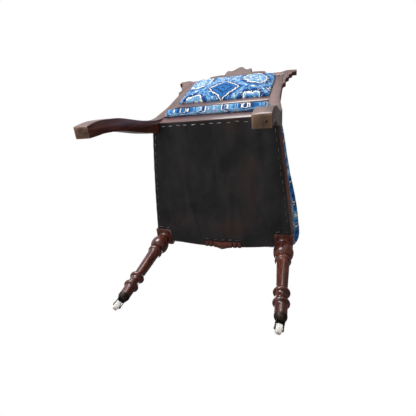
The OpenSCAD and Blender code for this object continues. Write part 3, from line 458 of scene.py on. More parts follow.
def figured_cloth():
    """Woven chenille: blue diamonds and rosettes between pale straps, outlined in cream."""
    cloth = bpy.context.scene.chair_cloth
    material, tree, shader, flat = start("woven_chenille_figured", cloth_map="Cloth")
    # Hand weaving wanders by a few millimetres over a hand's breadth
    drift = mottle(tree, flat, 26, 2).outputs["Color"]
    slip = mottle(tree, flat, 85, 3).outputs["Color"]
    swaying = vector(tree, "SUBTRACT", vector(tree, "ADD", drift, slip), (1, 1, 1))
    moved = vector(tree, "ADD", flat, vector(tree, "MULTIPLY", swaying, (0.019, 0.019, 0)))
    # The pattern steps by one knot
    knots = vector(tree, "SNAP", moved, (KNOT, KNOT, KNOT))
    unit = vector(tree, "MULTIPLY", knots, (1 / cloth.repeat_width, 1 / cloth.repeat_height, 1))
    parts = add(tree, "SeparateXYZ", [unit])
    # Both run from 0 on a diamond's middle line to 1 on a rosette's
    a, b = [calc(tree, "MULTIPLY", calc(tree, "PINGPONG", parts.outputs[axis], 0.5), 2)
            for axis in "XY"]
    # A diamond is 0.55 of the way to the next column wide and 0.61 of the way to the next row high
    reach = calc(tree, "MULTIPLY_ADD", a, 1.82, calc(tree, "MULTIPLY", b, 1.64))
    c, d = calc(tree, "SUBTRACT", 1, a), calc(tree, "SUBTRACT", 1, b)
    # A rosette's edge has fourteen scallops
    angle = calc(tree, "ARCTAN2", d, c)
    scallop = calc(tree, "MULTIPLY", calc(tree, "SINE", calc(tree, "MULTIPLY", angle, 14)), 0.06)
    oval = vector(tree, "MULTIPLY", add(tree, "CombineXYZ", [c, d]), (2.42, 1.5, 0))
    round_reach = calc(tree, "ADD", vector(tree, "LENGTH", oval), scallop)
    deep, middle, pale, cream = cloth.deep, cloth.middle, cloth.pale, cloth.cream
    diamond_bands = ramp(
        tree, calc(tree, "MULTIPLY", reach, 0.4), (0.0, deep), (0.06, middle), (0.17, deep),
        (0.24, middle), (0.33, deep), (0.37, cream), (0.41, deep), (0.46, middle), (0.54, pale),
        (0.60, middle), (0.64, pale), (0.72, cream), (0.745, middle), (0.79, pale), hard=True)
    rosette_bands = ramp(
        tree, calc(tree, "MULTIPLY", round_reach, 0.55), (0.0, cream), (0.05, middle),
        (0.10, pale), (0.22, cream), (0.26, pale), (0.36, middle), (0.40, pale), (0.50, cream),
        (0.56, deep), (0.67, middle), (0.74, pale), hard=True)
    # Small rings sit between two rosettes or two diamonds
    side_ring = vector(tree, "LENGTH", add(tree, "CombineXYZ", [c, b]))
    top_ring = vector(tree, "LENGTH", add(tree, "CombineXYZ", [a, d]))
    ring = calc(tree, "MINIMUM", side_ring, top_ring)
    ring_bands = ramp(
        tree, ring, (0.0, cream), (0.06, middle), (0.11, pale), (0.16, middle), hard=True)
    in_rosette = calc(tree, "LESS_THAN", round_reach, 1.42)
    in_ring = calc(tree, "LESS_THAN", ring, 0.21)
    motif = add(tree, "Mix", [in_rosette, diamond_bands, rosette_bands], data_type="RGBA")
    pattern = add(tree, "Mix", [in_ring, motif, ring_bands], data_type="RGBA")
    chenille_finish(tree, shader, flat, reach, pattern)
    return material


def chenille_finish(tree, shader, flat, reach, pattern):
    """Adds stray curls to the woven pattern, mottles its dyes and raises its threads."""
    # Curls of cream and deep blue, two or three knots wide, wander outside the diamonds
    cloth = bpy.context.scene.chair_cloth
    stray = mottle(tree, flat, 42, 1)
    outside = calc(tree, "GREATER_THAN", reach, 1.1)
    for level, width, colour in ((0.60, 0.013, cloth.deep), (0.43, 0.009, cloth.cream)):
        line = calc(tree, "MULTIPLY", calc(tree, "COMPARE", stray, level, width), outside)
        pattern = add(tree, "Mix", [line, pattern, colour], data_type="RGBA")
    # Dyed yarn varies from thread to thread and fades in patches
    yarn = mottle(tree, flat, 420, 3, stretch=(1, 0.25, 1))
    shade = calc(tree, "MULTIPLY", spread(tree, yarn, 0.3, 0.7, 0.58, 1.12), spread(
        tree, mottle(tree, flat, 17, 4), 0.3, 0.7, 0.84, 1.08))
    # A cord of yarn is one knot wide, and is drawn four times as wide so that it shows
    cords, picks = [add(tree, "TexWave", {
        "Vector": flat, "Scale": wave_scale(2 * KNOT), "Distortion": 1.5, "Detail": 2,
        "Detail Scale": 3}, bands_direction=way).outputs["Fac"] for way in "XY"]
    fill(tree, shader, {
        "Base Color": vector(tree, "MULTIPLY", pattern, shade), "Roughness": 0.9,
        "Specular IOR Level": 0.15, "Sheen Weight": 0.04,
        "Normal": relief(tree, calc(tree, "MAXIMUM", cords, picks), 0.55, 0.0009)})


# Stuffed pieces


def swell(piece, held, cell):
    """Fills a closed form with stuffing by a cloth simulation that holds it where it is tacked."""
    cushion = bpy.context.scene.chair_cushion
    remesh = piece.modifiers.new("Cells", "REMESH")
    remesh.mode = "VOXEL"
    remesh.voxel_size = cell
    apply_all(piece)
    edit(piece)
    bpy.ops.mesh.select_all(action="SELECT")
    bpy.ops.mesh.vertices_smooth(factor=0.5, repeat=3)
    pick(piece)
    steps = 20
    rest = [v.co.copy() for v in piece.data.vertices]
    tacked = piece.vertex_groups.new(name="tacked")
    tacked.add([v.index for v in piece.data.vertices if held(v.co, v.normal)], 1.0, "REPLACE")
    stuffing = piece.modifiers.new("Stuffing", "CLOTH")
    stuffing.settings.quality = 5
    stuffing.settings.mass = 0.35
    stuffing.settings.tension_stiffness = 18
    stuffing.settings.compression_stiffness = 18
    stuffing.settings.bending_stiffness = 0.6
    stuffing.settings.use_pressure = True
    stuffing.settings.uniform_pressure_force = cushion.pressure
    stuffing.settings.vertex_group_mass = "tacked"
    stuffing.settings.effector_weights.gravity = 0
    stuffing.collision_settings.use_collision = False
    stuffing.point_cache.frame_end = steps
    for step in range(1, steps + 1):
        bpy.context.scene.frame_set(step)
    apply_all(piece)
    for vertex, before in zip(piece.data.vertices, rest):
        move = vertex.co - before
        if move.length > cushion.swell:
            vertex.co = before + move * (cushion.swell / move.length)
    piece.vertex_groups.clear()
    bpy.context.scene.frame_set(1)
    finer = piece.modifiers.new("Finer", "SUBSURF")
    finer.levels = finer.render_levels = 1
    apply_all(piece)
    smooth(piece, 70)


def lay_cloth(piece, middle, across, up, brim):
    """Maps the cloth over a padded piece: flat on its face and folded down its sides."""
    out = across.cross(up)
    piece.data.uv_layers.new(name="Cloth")
    layer = piece.data.uv_layers["Cloth"].data
    spots = []
    for vertex in piece.data.vertices:
        place = vertex.co - middle
        lean = Vector((vertex.normal.dot(across), vertex.normal.dot(up)))
        depth = max(0.0, brim - place.dot(out)) * min(1.0, lean.length * 1.6)
        lean = lean.normalized() if lean.length > 0.05 else Vector((0, 0))
        spots.append((place.dot(across) + lean.x * depth, place.dot(up) + lean.y * depth))
    for loop in piece.data.loops:
        layer[loop.index].uv = spots[loop.vertex_index]


# Where things are, in metres. The back's axes run up it and out of its rear face

RAKE = math.radians(16.4)
BACK_UP = Vector((0, math.sin(RAKE), math.cos(RAKE)))
BACK_OUT = Vector((0, math.cos(RAKE), -math.sin(RAKE)))
BACK_START = Vector((0, 0.16233, 0.381))
ACROSS = Vector((1, 0, 0))


class CHAIR_OT_rear_legs(bpy.types.Operator):
    """Sabre rear legs with the back posts, sawn square at the floor"""

    bl_idname = "chair.rear_legs"
    bl_label = "Rear legs"

    def execute(self, context):
        polish = polished_walnut("Z")
        end = sawn_end_grain()
        for side in SIDES:
            leg = copy_of(f"rear_leg_{side}", f"sabre_leg_{side}")
            ease_edges(leg, context.scene.chair_walnut.edge)
            leg.data.materials.append(polish)
            leg.data.materials.append(end)
            for face in leg.data.polygons:
                face.material_index = int(face.center.z < 0.0005 and face.normal.z < -0.9)
            smooth(leg)
            settle(leg, None, "root", "walnut", f"rear_leg_{side}")
        return {"FINISHED"}


def bead(start, base, full, height, steps=12):
    """A half-round bead of a turning, as radius and distance down its axis in millimetres."""
    turns = [math.radians(-90 + 180 * k / steps) for k in range(steps + 1)]
    return [(base + (full - base) * math.cos(a), start + height / 2 * (1 + math.sin(a)))
            for a in turns]


def cove(start, wide, end, thin, steps=8):
    """A quarter-round hollow that narrows down the turning."""
    turns = [math.radians(90 * k / steps) for k in range(steps + 1)]
    return [(thin + (wide - thin) * (1 - math.sin(a)), start + (end - start) * (1 - math.cos(a)))
            for a in turns]


# The turning from inside its block down to the stub in the caster's cup, as in the frame. Its
# last points are the bore, wide enough for the spindle, which stands upright in the leaning leg
TURNING = [
    (0, -8), (26, -8), *cove(1.5, 26, 10, 20.5), (22.5, 11), (22.5, 14), (18.5, 15),
    *bead(17, 16.5, 32.5, 54, 24), (18.5, 71), (20, 76), *bead(76, 20, 25.5, 18),
    *cove(94, 22.5, 103, 20), (15.75, 207.28), (18.25, 209.28), (18.25, 212.28),
    *bead(212.28, 18.25, 23.5, 13), *cove(225.28, 18.75, 232.28, 16.25), (16.95, 245.28),
    (18.75, 247.28), *bead(249.28, 18.25, 23, 13), *cove(262.28, 18.75, 267.28, 16.75),
    (16.25, 294.98), (14.15, 294.98), (14.15, 302.28), (7.2, 302.28), (7.2, 284), (0, 284)]
LEG_TOP = Vector((0.2185, -0.26667, 0.34))
LEG_RAKE, LEG_SPLAY = math.radians(6.9), math.radians(0.9)
LATHE_STEPS = 88


class CHAIR_OT_front_legs(bpy.types.Operator):
    """Turned front legs under square blocks"""

    bl_idname = "chair.front_legs"
    bl_label = "Front legs"

    def execute(self, context):
        polish = polished_walnut("Z", TURNED_POLISH)
        polish.name = "french_polished_walnut_turned"
        for side in SIDES:
            block = copy_of(f"front_leg_{side}", "block", whole_faces=False)
            select_faces(block, lambda f: f.calc_center_median().z < LEG_TOP.z - 0.0001)
            bpy.ops.mesh.delete(type="FACE")
            bpy.ops.mesh.select_all(action="SELECT")
            bpy.ops.mesh.dissolve_limited(angle_limit=math.radians(0.5))
            ease_edges(block, context.scene.chair_walnut.edge, 70)
            leg = joined([self.turning(1 if side == "left" else -1), block], f"turned_leg_{side}")
            smooth(leg, 42)
            settle(leg, polish, "root", "walnut", f"front_leg_{side}")
        return {"FINISHED"}

    def turning(self, way):
        """Spins the outline round the leg's own axis, as on a lathe."""
        bpy.ops.mesh.primitive_plane_add(size=0.001, location=(0, 0, 0))
        leg = bpy.context.object
        edit(leg, "VERT")
        shape = bmesh.from_edit_mesh(leg.data)
        for vertex in list(shape.verts):
            shape.verts.remove(vertex)
        line = [shape.verts.new((r * MM, 0, -s * MM)) for r, s in TURNING]
        for here, onward in zip(line, line[1:]):
            shape.edges.new((here, onward))
        bmesh.update_edit_mesh(leg.data)
        bpy.ops.mesh.select_all(action="SELECT")
        bpy.ops.mesh.spin(steps=LATHE_STEPS, angle=2 * math.pi, center=(0, 0, 0), axis=(0, 0, 1))
        bpy.ops.mesh.select_all(action="SELECT")
        bpy.ops.mesh.remove_doubles(threshold=0.00002)
        bpy.ops.mesh.normals_make_consistent(inside=False)
        pick(leg)
        leg.data.transform(
            Matrix.Translation((way * LEG_TOP.x, LEG_TOP.y, LEG_TOP.z))
            @ Matrix.Rotation(-way * LEG_SPLAY, 4, "Y") @ Matrix.Rotation(-LEG_RAKE, 4, "X"))
        return leg


class CHAIR_OT_seat_rails(bpy.types.Operator):
    """Rails of the seat frame and the carved drop under the front one"""

    bl_idname = "chair.seat_rails"
    bl_label = "Seat rails"

    def execute(self, context):
        across, along = polished_walnut("X"), polished_walnut("Y")
        edge = context.scene.chair_walnut.edge
        for node, name, polish in (
                ("front_rail", "front_seat_rail", across), ("rear_rail", "rear_seat_rail", across),
                ("side_rail_left", "left_seat_rail", along),
                ("side_rail_right", "right_seat_rail", along),
                ("front_pendant", "carved_drop", across)):
            rail = copy_of(node, name)
            ease_edges(rail, edge if node != "front_pendant" else edge * 0.7)
            smooth(rail)
            settle(rail, polish, "root", "walnut", node)
        return {"FINISHED"}


class CHAIR_OT_crest(bpy.types.Operator):
    """Cross rail, crest rail, pediment and ears of the back"""

    bl_idname = "chair.crest"
    bl_label = "Crest"

    def execute(self, context):
        across, upright = polished_walnut("X"), polished_walnut("Z")
        edge = context.scene.chair_walnut.edge
        for node, name, polish in (
                ("back_cross_rail", "cross_rail", across),
                ("crest_rail", "shaped_crest_rail", across),
                ("crest_pediment", "pediment", across),
                ("ear_left", "scalloped_ear_left", upright),
                ("ear_right", "scalloped_ear_right", upright)):
            piece = copy_of(node, name)
            ease_edges(piece, edge)
            smooth(piece)
            settle(piece, polish, "root", "walnut", node)
        return {"FINISHED"}


class CHAIR_OT_casters(bpy.types.Operator):
    """China caster wheels in iron forks and cups"""

    bl_idname = "chair.casters"
    bl_label = "Casters"

    def execute(self, context):
        iron, china = japanned_iron(), glazed_china()
        pin = drawn_steel("turned_steel_pin", "a8a49c", 0.3)
        cup_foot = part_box("caster_cup_left")[0].z
        for side in SIDES:
            for node, name, material, body, slot, ease in (
                    ("caster_cup", "cup", iron, "root", "caster_iron", 0.0004),
                    ("caster_fork", "fork", iron, f"fork_{side}", "caster_iron", 0.0004),
                    ("caster_wheel", "wheel", china, f"wheel_{side}", "white_china", 0)):
                piece = copy_of(f"{node}_{side}", f"cast_{name}_{side}", whole_faces=False)
                if ease:
                    # The fork's spindle keeps its running fit, so nothing above the plate is eased
                    ease_edges(piece, ease, 60, lambda p: name == "cup" or p.z < cup_foot)
                smooth(piece, 40)
                settle(piece, material, body, slot, f"{node}_{side}")
            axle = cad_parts[f"caster_axle_{side}"]
            axle.data.materials.clear()
            axle.data.materials.append(pin)
        return {"FINISHED"}


class CHAIR_OT_seat_inside(bpy.types.Operator):
    """Blocks, dowels, webbing, springs and hessian inside the seat and the back"""

    bl_idname = "chair.seat_inside"
    bl_label = "Inside the seat"

    def execute(self, context):
        beech = planed_beech()
        web = jute("striped_jute_webbing", 0.0018, "6f5a38", "b89d6b")
        sack = jute("jute_hessian", 0.0012, "7a6642", "c0a878")
        finishes = {
            "corner_blocks": beech, "seat_dowels": beech, "back_dowels": beech,
            "corner_screws": drawn_steel("zinc_plated_screw", "b5b3ad", 0.35),
            "seat_springs": drawn_steel("coppered_spring_wire", "a5794f", 0.4),
            "seat_webbing_across": web, "seat_webbing_along": web, "back_webbing": web,
            "seat_hessian": sack, "back_hessian": sack}
        for node, material in finishes.items():
            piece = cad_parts[node]
            piece.data.materials.clear()
            piece.data.materials.append(material)
        return {"FINISHED"}


# The seat's cover is tacked to the rails up to this height above its edge
TACKED = 0.006
# How far below the face the pattern folds down the sides
SEAT_BRIM, BACK_BRIM = 0.012, 0.006
# Share of a back pad's depth that shows above its frame and swells
BACK_FREE = 0.62
# The pattern's middle lies this far forward on the seat and this far up the back
SEAT_FORWARD, BACK_UPWARD = 0.020, 0.185
# The seat's rear corners reach from here to its sides
CORNER = 0.19


class CHAIR_OT_seat(bpy.types.Operator):
    """Sprung and stuffed seat under its figured cover"""

    bl_idname = "chair.seat"
    bl_label = "Seat"

    def execute(self, context):
        seat = joined(
            [copy_of("seat_cover", "cover"), copy_of("seat_padding", "padding")], "stuffed_seat")
        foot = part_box("seat_cover")[0].z

        def held(place, normal):
            return place.z < foot + TACKED or normal.z < -0.4

        swell(seat, held, context.scene.chair_cushion.voxel)
        # The corners stop at the posts' front faces, and don't swell past them
        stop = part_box("side_rail_right")[1].y
        for vertex in seat.data.vertices:
            if abs(vertex.co.x) > CORNER:
                vertex.co.y = min(vertex.co.y, stop)
        low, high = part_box("seat_cover")
        # A column of rosettes runs down the middle of the seat
        half_repeat = context.scene.chair_cloth.repeat_width / 2
        middle = Vector((half_repeat, (low.y + high.y) / 2 - SEAT_FORWARD, high.z))
        lay_cloth(seat, middle, ACROSS, Vector((0, 1, 0)), -SEAT_BRIM)
        settle(seat, figured_cloth(), "root", "figured_velvet", "seat_cover", "seat_padding")
        return {"FINISHED"}


class CHAIR_OT_back(bpy.types.Operator):
    """Stuffed pad on the front of the back and the padded outside back"""

    bl_idname = "chair.back"
    bl_label = "Back"

    def execute(self, context):
        cloth = bpy.data.materials.get("woven_chenille_figured") or figured_cloth()
        cell = context.scene.chair_cushion.voxel * 0.8
        for node, name, out in (("back_pad", "stuffed_back_pad", -BACK_OUT),
                                ("outside_back_panel", "padded_outside_back", BACK_OUT)):
            pad = copy_of(node, name)
            face = max(v.co.dot(out) for v in pad.data.vertices)
            depth = face - min(v.co.dot(out) for v in pad.data.vertices)

            def held(place, normal):
                return normal.dot(out) < -0.3 or place.dot(out) < face - depth * BACK_FREE

            swell(pad, held, cell)
            across = ACROSS if node == "outside_back_panel" else -ACROSS
            # A diamond lies over the middle of the opening's lower half
            middle = BACK_START + BACK_UP * BACK_UPWARD
            lay_cloth(pad, middle + out * (face - middle.dot(out)), across, BACK_UP, -BACK_BRIM)
            settle(pad, cloth, "root", "figured_velvet", node)
        return {"FINISHED"}


def border(piece):
    """The cloth's edge as one ordered ring of points."""
    edges = {}
    uses = {}
    for face in piece.data.polygons:
        for key in face.edge_keys:
            uses[key] = uses.get(key, 0) + 1
    for (p, q), count in uses.items():
        if count == 1:
            edges.setdefault(p, []).append(q)
            edges.setdefault(q, []).append(p)
    first = min(edges)
    ring, last = [first], None
    while True:
        onward = [q for q in edges[ring[-1]] if q != last]
        last = ring[-1]
        if onward[0] == first:
            break
        ring.append(onward[0])
    return [piece.data.vertices[k].co.copy() for k in ring]


# The under cloth's thickness, the depth of its hem and the height of its creases and folds
CAMBRIC, HEM, CREASE, FOLD = 0.0005, 0.014, 0.0016, 0.0018
# It lies flat along its edge and hangs freely further in
FLAT_EDGE, SLACK = 0.012, 0.06
# Nine creases spread from near each corner and die away
CREASES, CREASE_REACH = 9, 0.12
CREASE_STARTS = [Vector((x, y, 0)) for x in (-0.17, 0.17) for y in (-0.22, 0.13)]
# Staples are of flat wire
WIRE_WIDE, WIRE_HIGH, STAPLE_LEG = 0.0013, 0.0010, 0.0014
# Hand stapling strays by up to these lengths and this angle
STRAY_ALONG, STRAY_INWARD, STRAY_TURN = 0.003, 0.0015, 0.16
# Edges of the cloth that are shorter than this have no staples
SHORTEST_STAPLED = 0.045


class CHAIR_OT_under_cloth(bpy.types.Operator):
    """Black cloth stapled under the seat"""

    bl_idname = "chair.under_cloth"
    bl_label = "Under cloth"

    def execute(self, context):
        under = context.scene.chair_under
        cloth = copy_of("dust_cover", "under_cloth")
        low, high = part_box("dust_cover")
        select_faces(cloth, lambda f: not (
            f.normal.z < -0.99 and f.calc_center_median().z < low.z + 0.0002))
        bpy.ops.mesh.delete(type="FACE")
        pick(cloth)
        ring = border(cloth)
        for axis, a, b in ((0, low.x, high.x), (1, low.y, high.y)):
            normal = [0, 0, 0]
            normal[axis] = 1
            for step in range(1, int((b - a) / under.cell)):
                place = [0, 0, 0]
                place[axis] = a + step * under.cell
                edit(cloth)
                bpy.ops.mesh.select_all(action="SELECT")
                bpy.ops.mesh.bisect(plane_co=place, plane_no=normal)
        pick(cloth)
        self.crease(cloth, ring, under.sag)
        thick = cloth.modifiers.new("Thickness", "SOLIDIFY")
        thick.thickness = CAMBRIC
        thick.offset = -1
        apply_all(cloth)
        smooth(cloth, 60)
        settle(cloth, black_cambric(), "root", "black_cambric", "dust_cover")
        staples = self.staples(cloth, ring, under)
        settle(staples, drawn_steel("galvanised_staple", "c4c2bc", 0.3), "root", "screw_steel")
        return {"FINISHED"}

    def crease(self, cloth, ring, sag):
        """Sags the middle, thickens the hem and draws creases from the corners."""
        for vertex in cloth.data.vertices:
            place = vertex.co
            inside = min((place - p).length for p in ring)
            free = min(1.0, max(0.0, (inside - FLAT_EDGE) / SLACK))
            free = free * free * (3 - 2 * free)
            pulled = 0.0
            for corner in CREASE_STARTS:
                away = Vector((place.x, place.y, 0)) - corner
                if away.length > 0.001:
                    turn = math.atan2(away.y, away.x)
                    fade = math.exp(-away.length / CREASE_REACH)
                    pulled += math.sin(turn * CREASES + noise.noise(place * 9) * 3) * fade
            ridge = 1 - abs(noise.noise(Vector((place.x * 9, place.y * 3.5, 3.1)))) * 5
            drop = sag * free + CREASE * free * pulled + FOLD * free * max(0.0, ridge)
            vertex.co.z -= drop + (CAMBRIC if inside < HEM else 0.0)

    def staple(self, length):
        """One wire staple at the origin, with its crown down and its two legs up."""
        bpy.ops.mesh.primitive_cube_add(size=1, location=(0, 0, 0))
        staple = bpy.context.object
        staple.data.transform(Matrix.Diagonal((length, WIRE_WIDE, WIRE_HIGH, 1)))
        select_faces(staple, lambda f: abs(f.normal.x) > 0.9)
        bpy.ops.mesh.extrude_region_move(TRANSFORM_OT_translate={"value": (0, 0, STAPLE_LEG)})
        select_edges(staple, lambda e: e.calc_face_angle(0) > 0.5)
        bpy.ops.mesh.bevel(offset=0.0002, segments=1, affect="EDGES", clamp_overlap=False)
        pick(staple)
        return staple

    def staples(self, cloth, ring, under):
        """Wire staples along the edge, none quite in line with the next."""
        seed = random.Random(7)
        middle = sum(ring, Vector()) / len(ring)
        first = self.staple(under.staple_length)
        made = []
        for k, here in enumerate(ring):
            onward = ring[(k + 1) % len(ring)]
            run = onward - here
            if run.length < SHORTEST_STAPLED:
                continue
            count = int(run.length / under.staple_pitch + 0.5)
            along = run.normalized()
            inward = Vector((-along.y, along.x, 0))
            if inward.dot(middle - here) < 0:
                inward = -inward
            for j in range(count):
                place = here + run * ((j + 0.5) / count)
                place += along * seed.uniform(-STRAY_ALONG, STRAY_ALONG)
                place += inward * (under.staple_inset + seed.uniform(-STRAY_INWARD, STRAY_INWARD))
                # A staple stands on the cloth, and none goes where the cloth is cut away
                below = cloth.closest_point_on_mesh(place + Vector((0, 0, -0.004)))[1]
                if (below - place).xy.length > 0.002:
                    continue
                place.z = below.z - 0.0006
                turn = math.atan2(along.y, along.x) + seed.uniform(-STRAY_TURN, STRAY_TURN)
                staple = first.copy()
                staple.data = first.data.copy()
                bpy.context.scene.collection.objects.link(staple)
                staple.data.transform(Matrix.Translation(place) @ Matrix.Rotation(turn, 4, "Z"))
                made.append(staple)
        bpy.data.objects.remove(first)
        return joined(made, "wire_staples")


# A dark plug in the right post and a nail hole under the right foot
PLUG_PLACE = BACK_START + BACK_UP * 0.362 - ACROSS * 0.1807
NAIL_PLACE = Vector((-0.1995, 0.1711, 0.0))


class CHAIR_OT_small_marks(bpy.types.Operator):
    """Dark stopping in a back post and the nail hole in a foot"""

    bl_idname = "chair.small_marks"
    bl_label = "Plug and nail hole"

    def execute(self, context):
        plug = self.disc("post_plug", radius=0.0038, height=0.0009)
        turn = BACK_OUT.to_track_quat("Z", "Y").to_matrix().to_4x4()
        plug.data.transform(Matrix.Translation(PLUG_PLACE) @ turn)
        settle(plug, dark_stopping(), "root", "walnut")
        nail = self.disc("foot_nail", radius=0.0022, height=0.0006)
        nail.data.transform(Matrix.Translation(NAIL_PLACE) @ Matrix.Rotation(math.pi, 4, "X"))
        settle(nail, japanned_iron(), "root", "screw_steel")
        return {"FINISHED"}

    def disc(self, name, radius, height):
        """A small round disc whose top is dished."""
        bpy.ops.mesh.primitive_cylinder_add(vertices=24, radius=radius, depth=height)
        disc = bpy.context.object
        disc.name = disc.data.name = name
        select_faces(disc, lambda f: f.normal.z > 0.9)
        bpy.ops.mesh.inset(thickness=radius * 0.2)
        bpy.ops.transform.translate(value=(0, 0, -height * 0.3))
        pick(disc)
        smooth(disc, 40)
        return disc


# The camera's place and axes were solved from the photograph, with a 36 mm sensor
CAMERA_PLACE = Vector((-0.24753, 0.22586, -0.52103))
CAMERA_RIGHT = Vector((-0.957, -0.091, 0.275)).normalized()
CAMERA_FORWARD = Vector((0.289, -0.374, 0.881)).normalized()
CAMERA_LENS = 24.47
# Polish mirrors most light from the first way, and soft light is strongest from the second
BRIGHT_WAY, SOFT_WAY = (0.6, 0.75, 0.25), (0.8, 0.6, 0)
# The floor's width, its depth below the feet and the strength of its own light
FLOOR, FLOOR_DROP, PAPER_GLOW = 9, 0.0006, 0.42
# Distances at which the floor starts to fade and is gone
FADE_START, FADE_END = 0.7, 2.0


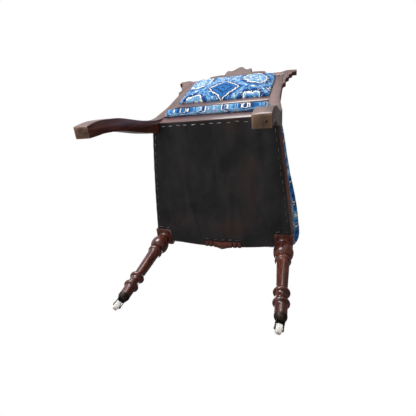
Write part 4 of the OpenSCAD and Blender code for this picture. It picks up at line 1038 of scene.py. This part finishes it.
class CHAIR_OT_studio(bpy.types.Operator):
    """Camera at the photograph's place, a white floor and soft lamps"""

    bl_idname = "chair.studio"
    bl_label = "Studio"

    def execute(self, context):
        self.camera(context)
        self.floor()
        self.lamps(context)
        self.surroundings(context)
        return {"FINISHED"}

    def camera(self, context):
        """The camera stands below and behind the chair, nearly upside down."""
        camera = bpy.data.objects.new("camera", bpy.data.cameras.new("camera"))
        context.scene.collection.objects.link(camera)
        up = CAMERA_RIGHT.cross(CAMERA_FORWARD).normalized()
        right = CAMERA_FORWARD.cross(up)
        camera.matrix_world = Matrix.Translation(CAMERA_PLACE) @ Matrix(
            (right, up, -CAMERA_FORWARD)).transposed().to_4x4()
        camera.data.sensor_width = 36
        camera.data.lens = CAMERA_LENS
        camera.data.clip_start = 0.01
        context.scene.camera = camera

    def floor(self):
        """White paper on the floor. It lets light and a camera below it through."""
        bpy.ops.mesh.primitive_grid_add(
            x_subdivisions=8, y_subdivisions=8, size=FLOOR, location=(0, 0, 0))
        floor = bpy.context.object
        floor.name = "studio_floor"
        floor.data.transform(Matrix.Translation((0, 0, -FLOOR_DROP)))
        material, tree, shader, place = start("white_paper_floor")
        colour = ramp(tree, mottle(tree, place, 90, 3), (0.3, "eeeeec"), (0.7, "f4f4f2"))
        path = add(tree, "LightPath").outputs
        # Some light of its own keeps the paper white to the camera, with the shadow still on it
        glow = add(tree, "Emission", {
            "Strength": calc(tree, "MULTIPLY", path["Is Camera Ray"], PAPER_GLOW)})
        paper = add(tree, "AddShader", [add(tree, "BsdfDiffuse", {"Color": colour}), glow])
        # Away from the chair the paper fades into the white room behind it
        faded = spread(tree, vector(tree, "LENGTH", place), FADE_START, FADE_END, 0, 1,
                       interpolation_type="SMOOTHSTEP")
        passes = calc(tree, "MULTIPLY", path["Is Camera Ray"], faded)
        for other in (add(tree, "NewGeometry").outputs["Backfacing"],
                      path["Is Shadow Ray"], path["Is Glossy Ray"]):
            passes = calc(tree, "MAXIMUM", passes, other)
        fill(tree, tree.nodes["Material Output"], {
            "Surface": add(tree, "MixShader", [passes, paper, add(tree, "BsdfTransparent")])})
        tree.nodes.remove(shader)
        floor.data.materials.append(material)

    def lamp(self, name, place, aim, size, power, tint):
        """A round soft lamp that faces the point that it's aimed at."""
        light = bpy.data.lights.new(name, "AREA")
        light.shape = "DISK"
        light.size = size
        light.energy = power
        light.color = srgb(tint)[:3]
        lamp = bpy.data.objects.new(name, light)
        bpy.context.scene.collection.objects.link(lamp)
        lamp.location = place
        lamp.rotation_mode = "QUATERNION"
        lamp.rotation_quaternion = (Vector(aim) - Vector(place)).to_track_quat("-Z", "Y")

    def lamps(self, context):
        """A large key lamp and a window behind, and weak fill from below and above."""
        studio = context.scene.chair_studio
        self.lamp("key", (1.2, 2.5, 0.5), (0, 0.1, 0.45), 1.6, studio.key_power, "f6f9ff")
        self.lamp("window", (0.1, 2.4, 1.7), (0, -0.1, 0.3), 1.3, studio.key_power * 0.4, "ffffff")
        self.lamp("fill", (0.4, 0.5, -1.6), (0, 0, 0.3), 1.4, studio.fill_power, "fffaf4")
        self.lamp("top", (0.3, -1.2, 2.4), (0, 0, 0.5), 1.8, studio.fill_power * 4, "ffffff")

    def surroundings(self, context):
        """A white room, full where the camera sees it and dimmer as light on the chair."""
        world = bpy.data.worlds.new("white_room")
        context.scene.world = world
        world.use_nodes = True
        tree = world.node_tree
        tree.nodes.clear()
        path = add(tree, "LightPath").outputs
        seen = calc(tree, "MAXIMUM", path["Is Camera Ray"], calc(
            tree, "MAXIMUM", path["Is Glossy Ray"], path["Is Transmission Ray"]))
        # In the polish, the room is bright behind the chair and dim on the far side
        way = add(tree, "TexCoord").outputs["Generated"]
        side = vector(tree, "DOT_PRODUCT", way, BRIGHT_WAY)
        gloss = spread(tree, side, 0.2, 0.7, 0.12, 0.62, interpolation_type="SMOOTHSTEP")
        mirrored = calc(tree, "MULTIPLY", path["Is Glossy Ray"], calc(tree, "SUBTRACT", 1, gloss))
        full = calc(tree, "SUBTRACT", 1, mirrored)
        # Light from all round is stronger on the sitter's left than on the right
        ambient = context.scene.chair_studio.ambient
        soft = spread(tree, vector(tree, "DOT_PRODUCT", way, SOFT_WAY), -1, 1, 0, ambient * 2)
        add(tree, "OutputWorld", {"Surface": add(tree, "Background", {
            "Color": (1, 1, 1, 1), "Strength": spread(tree, seen, 0, 1, soft, full)})})
        context.scene.view_settings.view_transform = "Standard"


class CHAIR_PT_panel(bpy.types.Panel):
    """Lists the chair's pieces"""

    bl_idname = "CHAIR_PT_panel"
    bl_label = "Parlour side chair"
    bl_space_type = "VIEW_3D"
    bl_region_type = "UI"
    bl_category = "Chair"

    def draw(self, context):
        for settings in SETTINGS:
            column = self.layout.column(align=True)
            group = getattr(context.scene, settings)
            for name in group.bl_rna.properties.keys():
                if name not in {"rna_type", "name"}:
                    column.prop(group, name)
        column = self.layout.column(align=True)
        for operator in OPERATORS:
            column.operator(operator.bl_idname)


SETTINGS = {
    "chair_walnut": WalnutSettings, "chair_cloth": ClothSettings, "chair_cushion": CushionSettings,
    "chair_under": UnderClothSettings, "chair_studio": StudioSettings}
OPERATORS = (
    CHAIR_OT_rear_legs, CHAIR_OT_front_legs, CHAIR_OT_seat_rails, CHAIR_OT_crest, CHAIR_OT_casters,
    CHAIR_OT_seat_inside, CHAIR_OT_seat, CHAIR_OT_back, CHAIR_OT_under_cloth, CHAIR_OT_small_marks,
    CHAIR_OT_studio)


def register():
    for part in (*SETTINGS.values(), *OPERATORS, CHAIR_PT_panel):
        bpy.utils.register_class(part)
    for name, settings in SETTINGS.items():
        setattr(bpy.types.Scene, name, bpy.props.PointerProperty(type=settings))


def unregister():
    for name in SETTINGS:
        delattr(bpy.types.Scene, name)
    for part in reversed((*SETTINGS.values(), *OPERATORS, CHAIR_PT_panel)):
        bpy.utils.unregister_class(part)


def main():
    register()
    bpy.ops.chair.rear_legs()
    bpy.ops.chair.front_legs()
    bpy.ops.chair.seat_rails()
    bpy.ops.chair.crest()
    bpy.ops.chair.casters()
    bpy.ops.chair.seat_inside()
    bpy.ops.chair.seat()
    bpy.ops.chair.back()
    bpy.ops.chair.under_cloth()
    bpy.ops.chair.small_marks()
    bpy.ops.chair.studio()


if __name__ == "__main__":
    main()
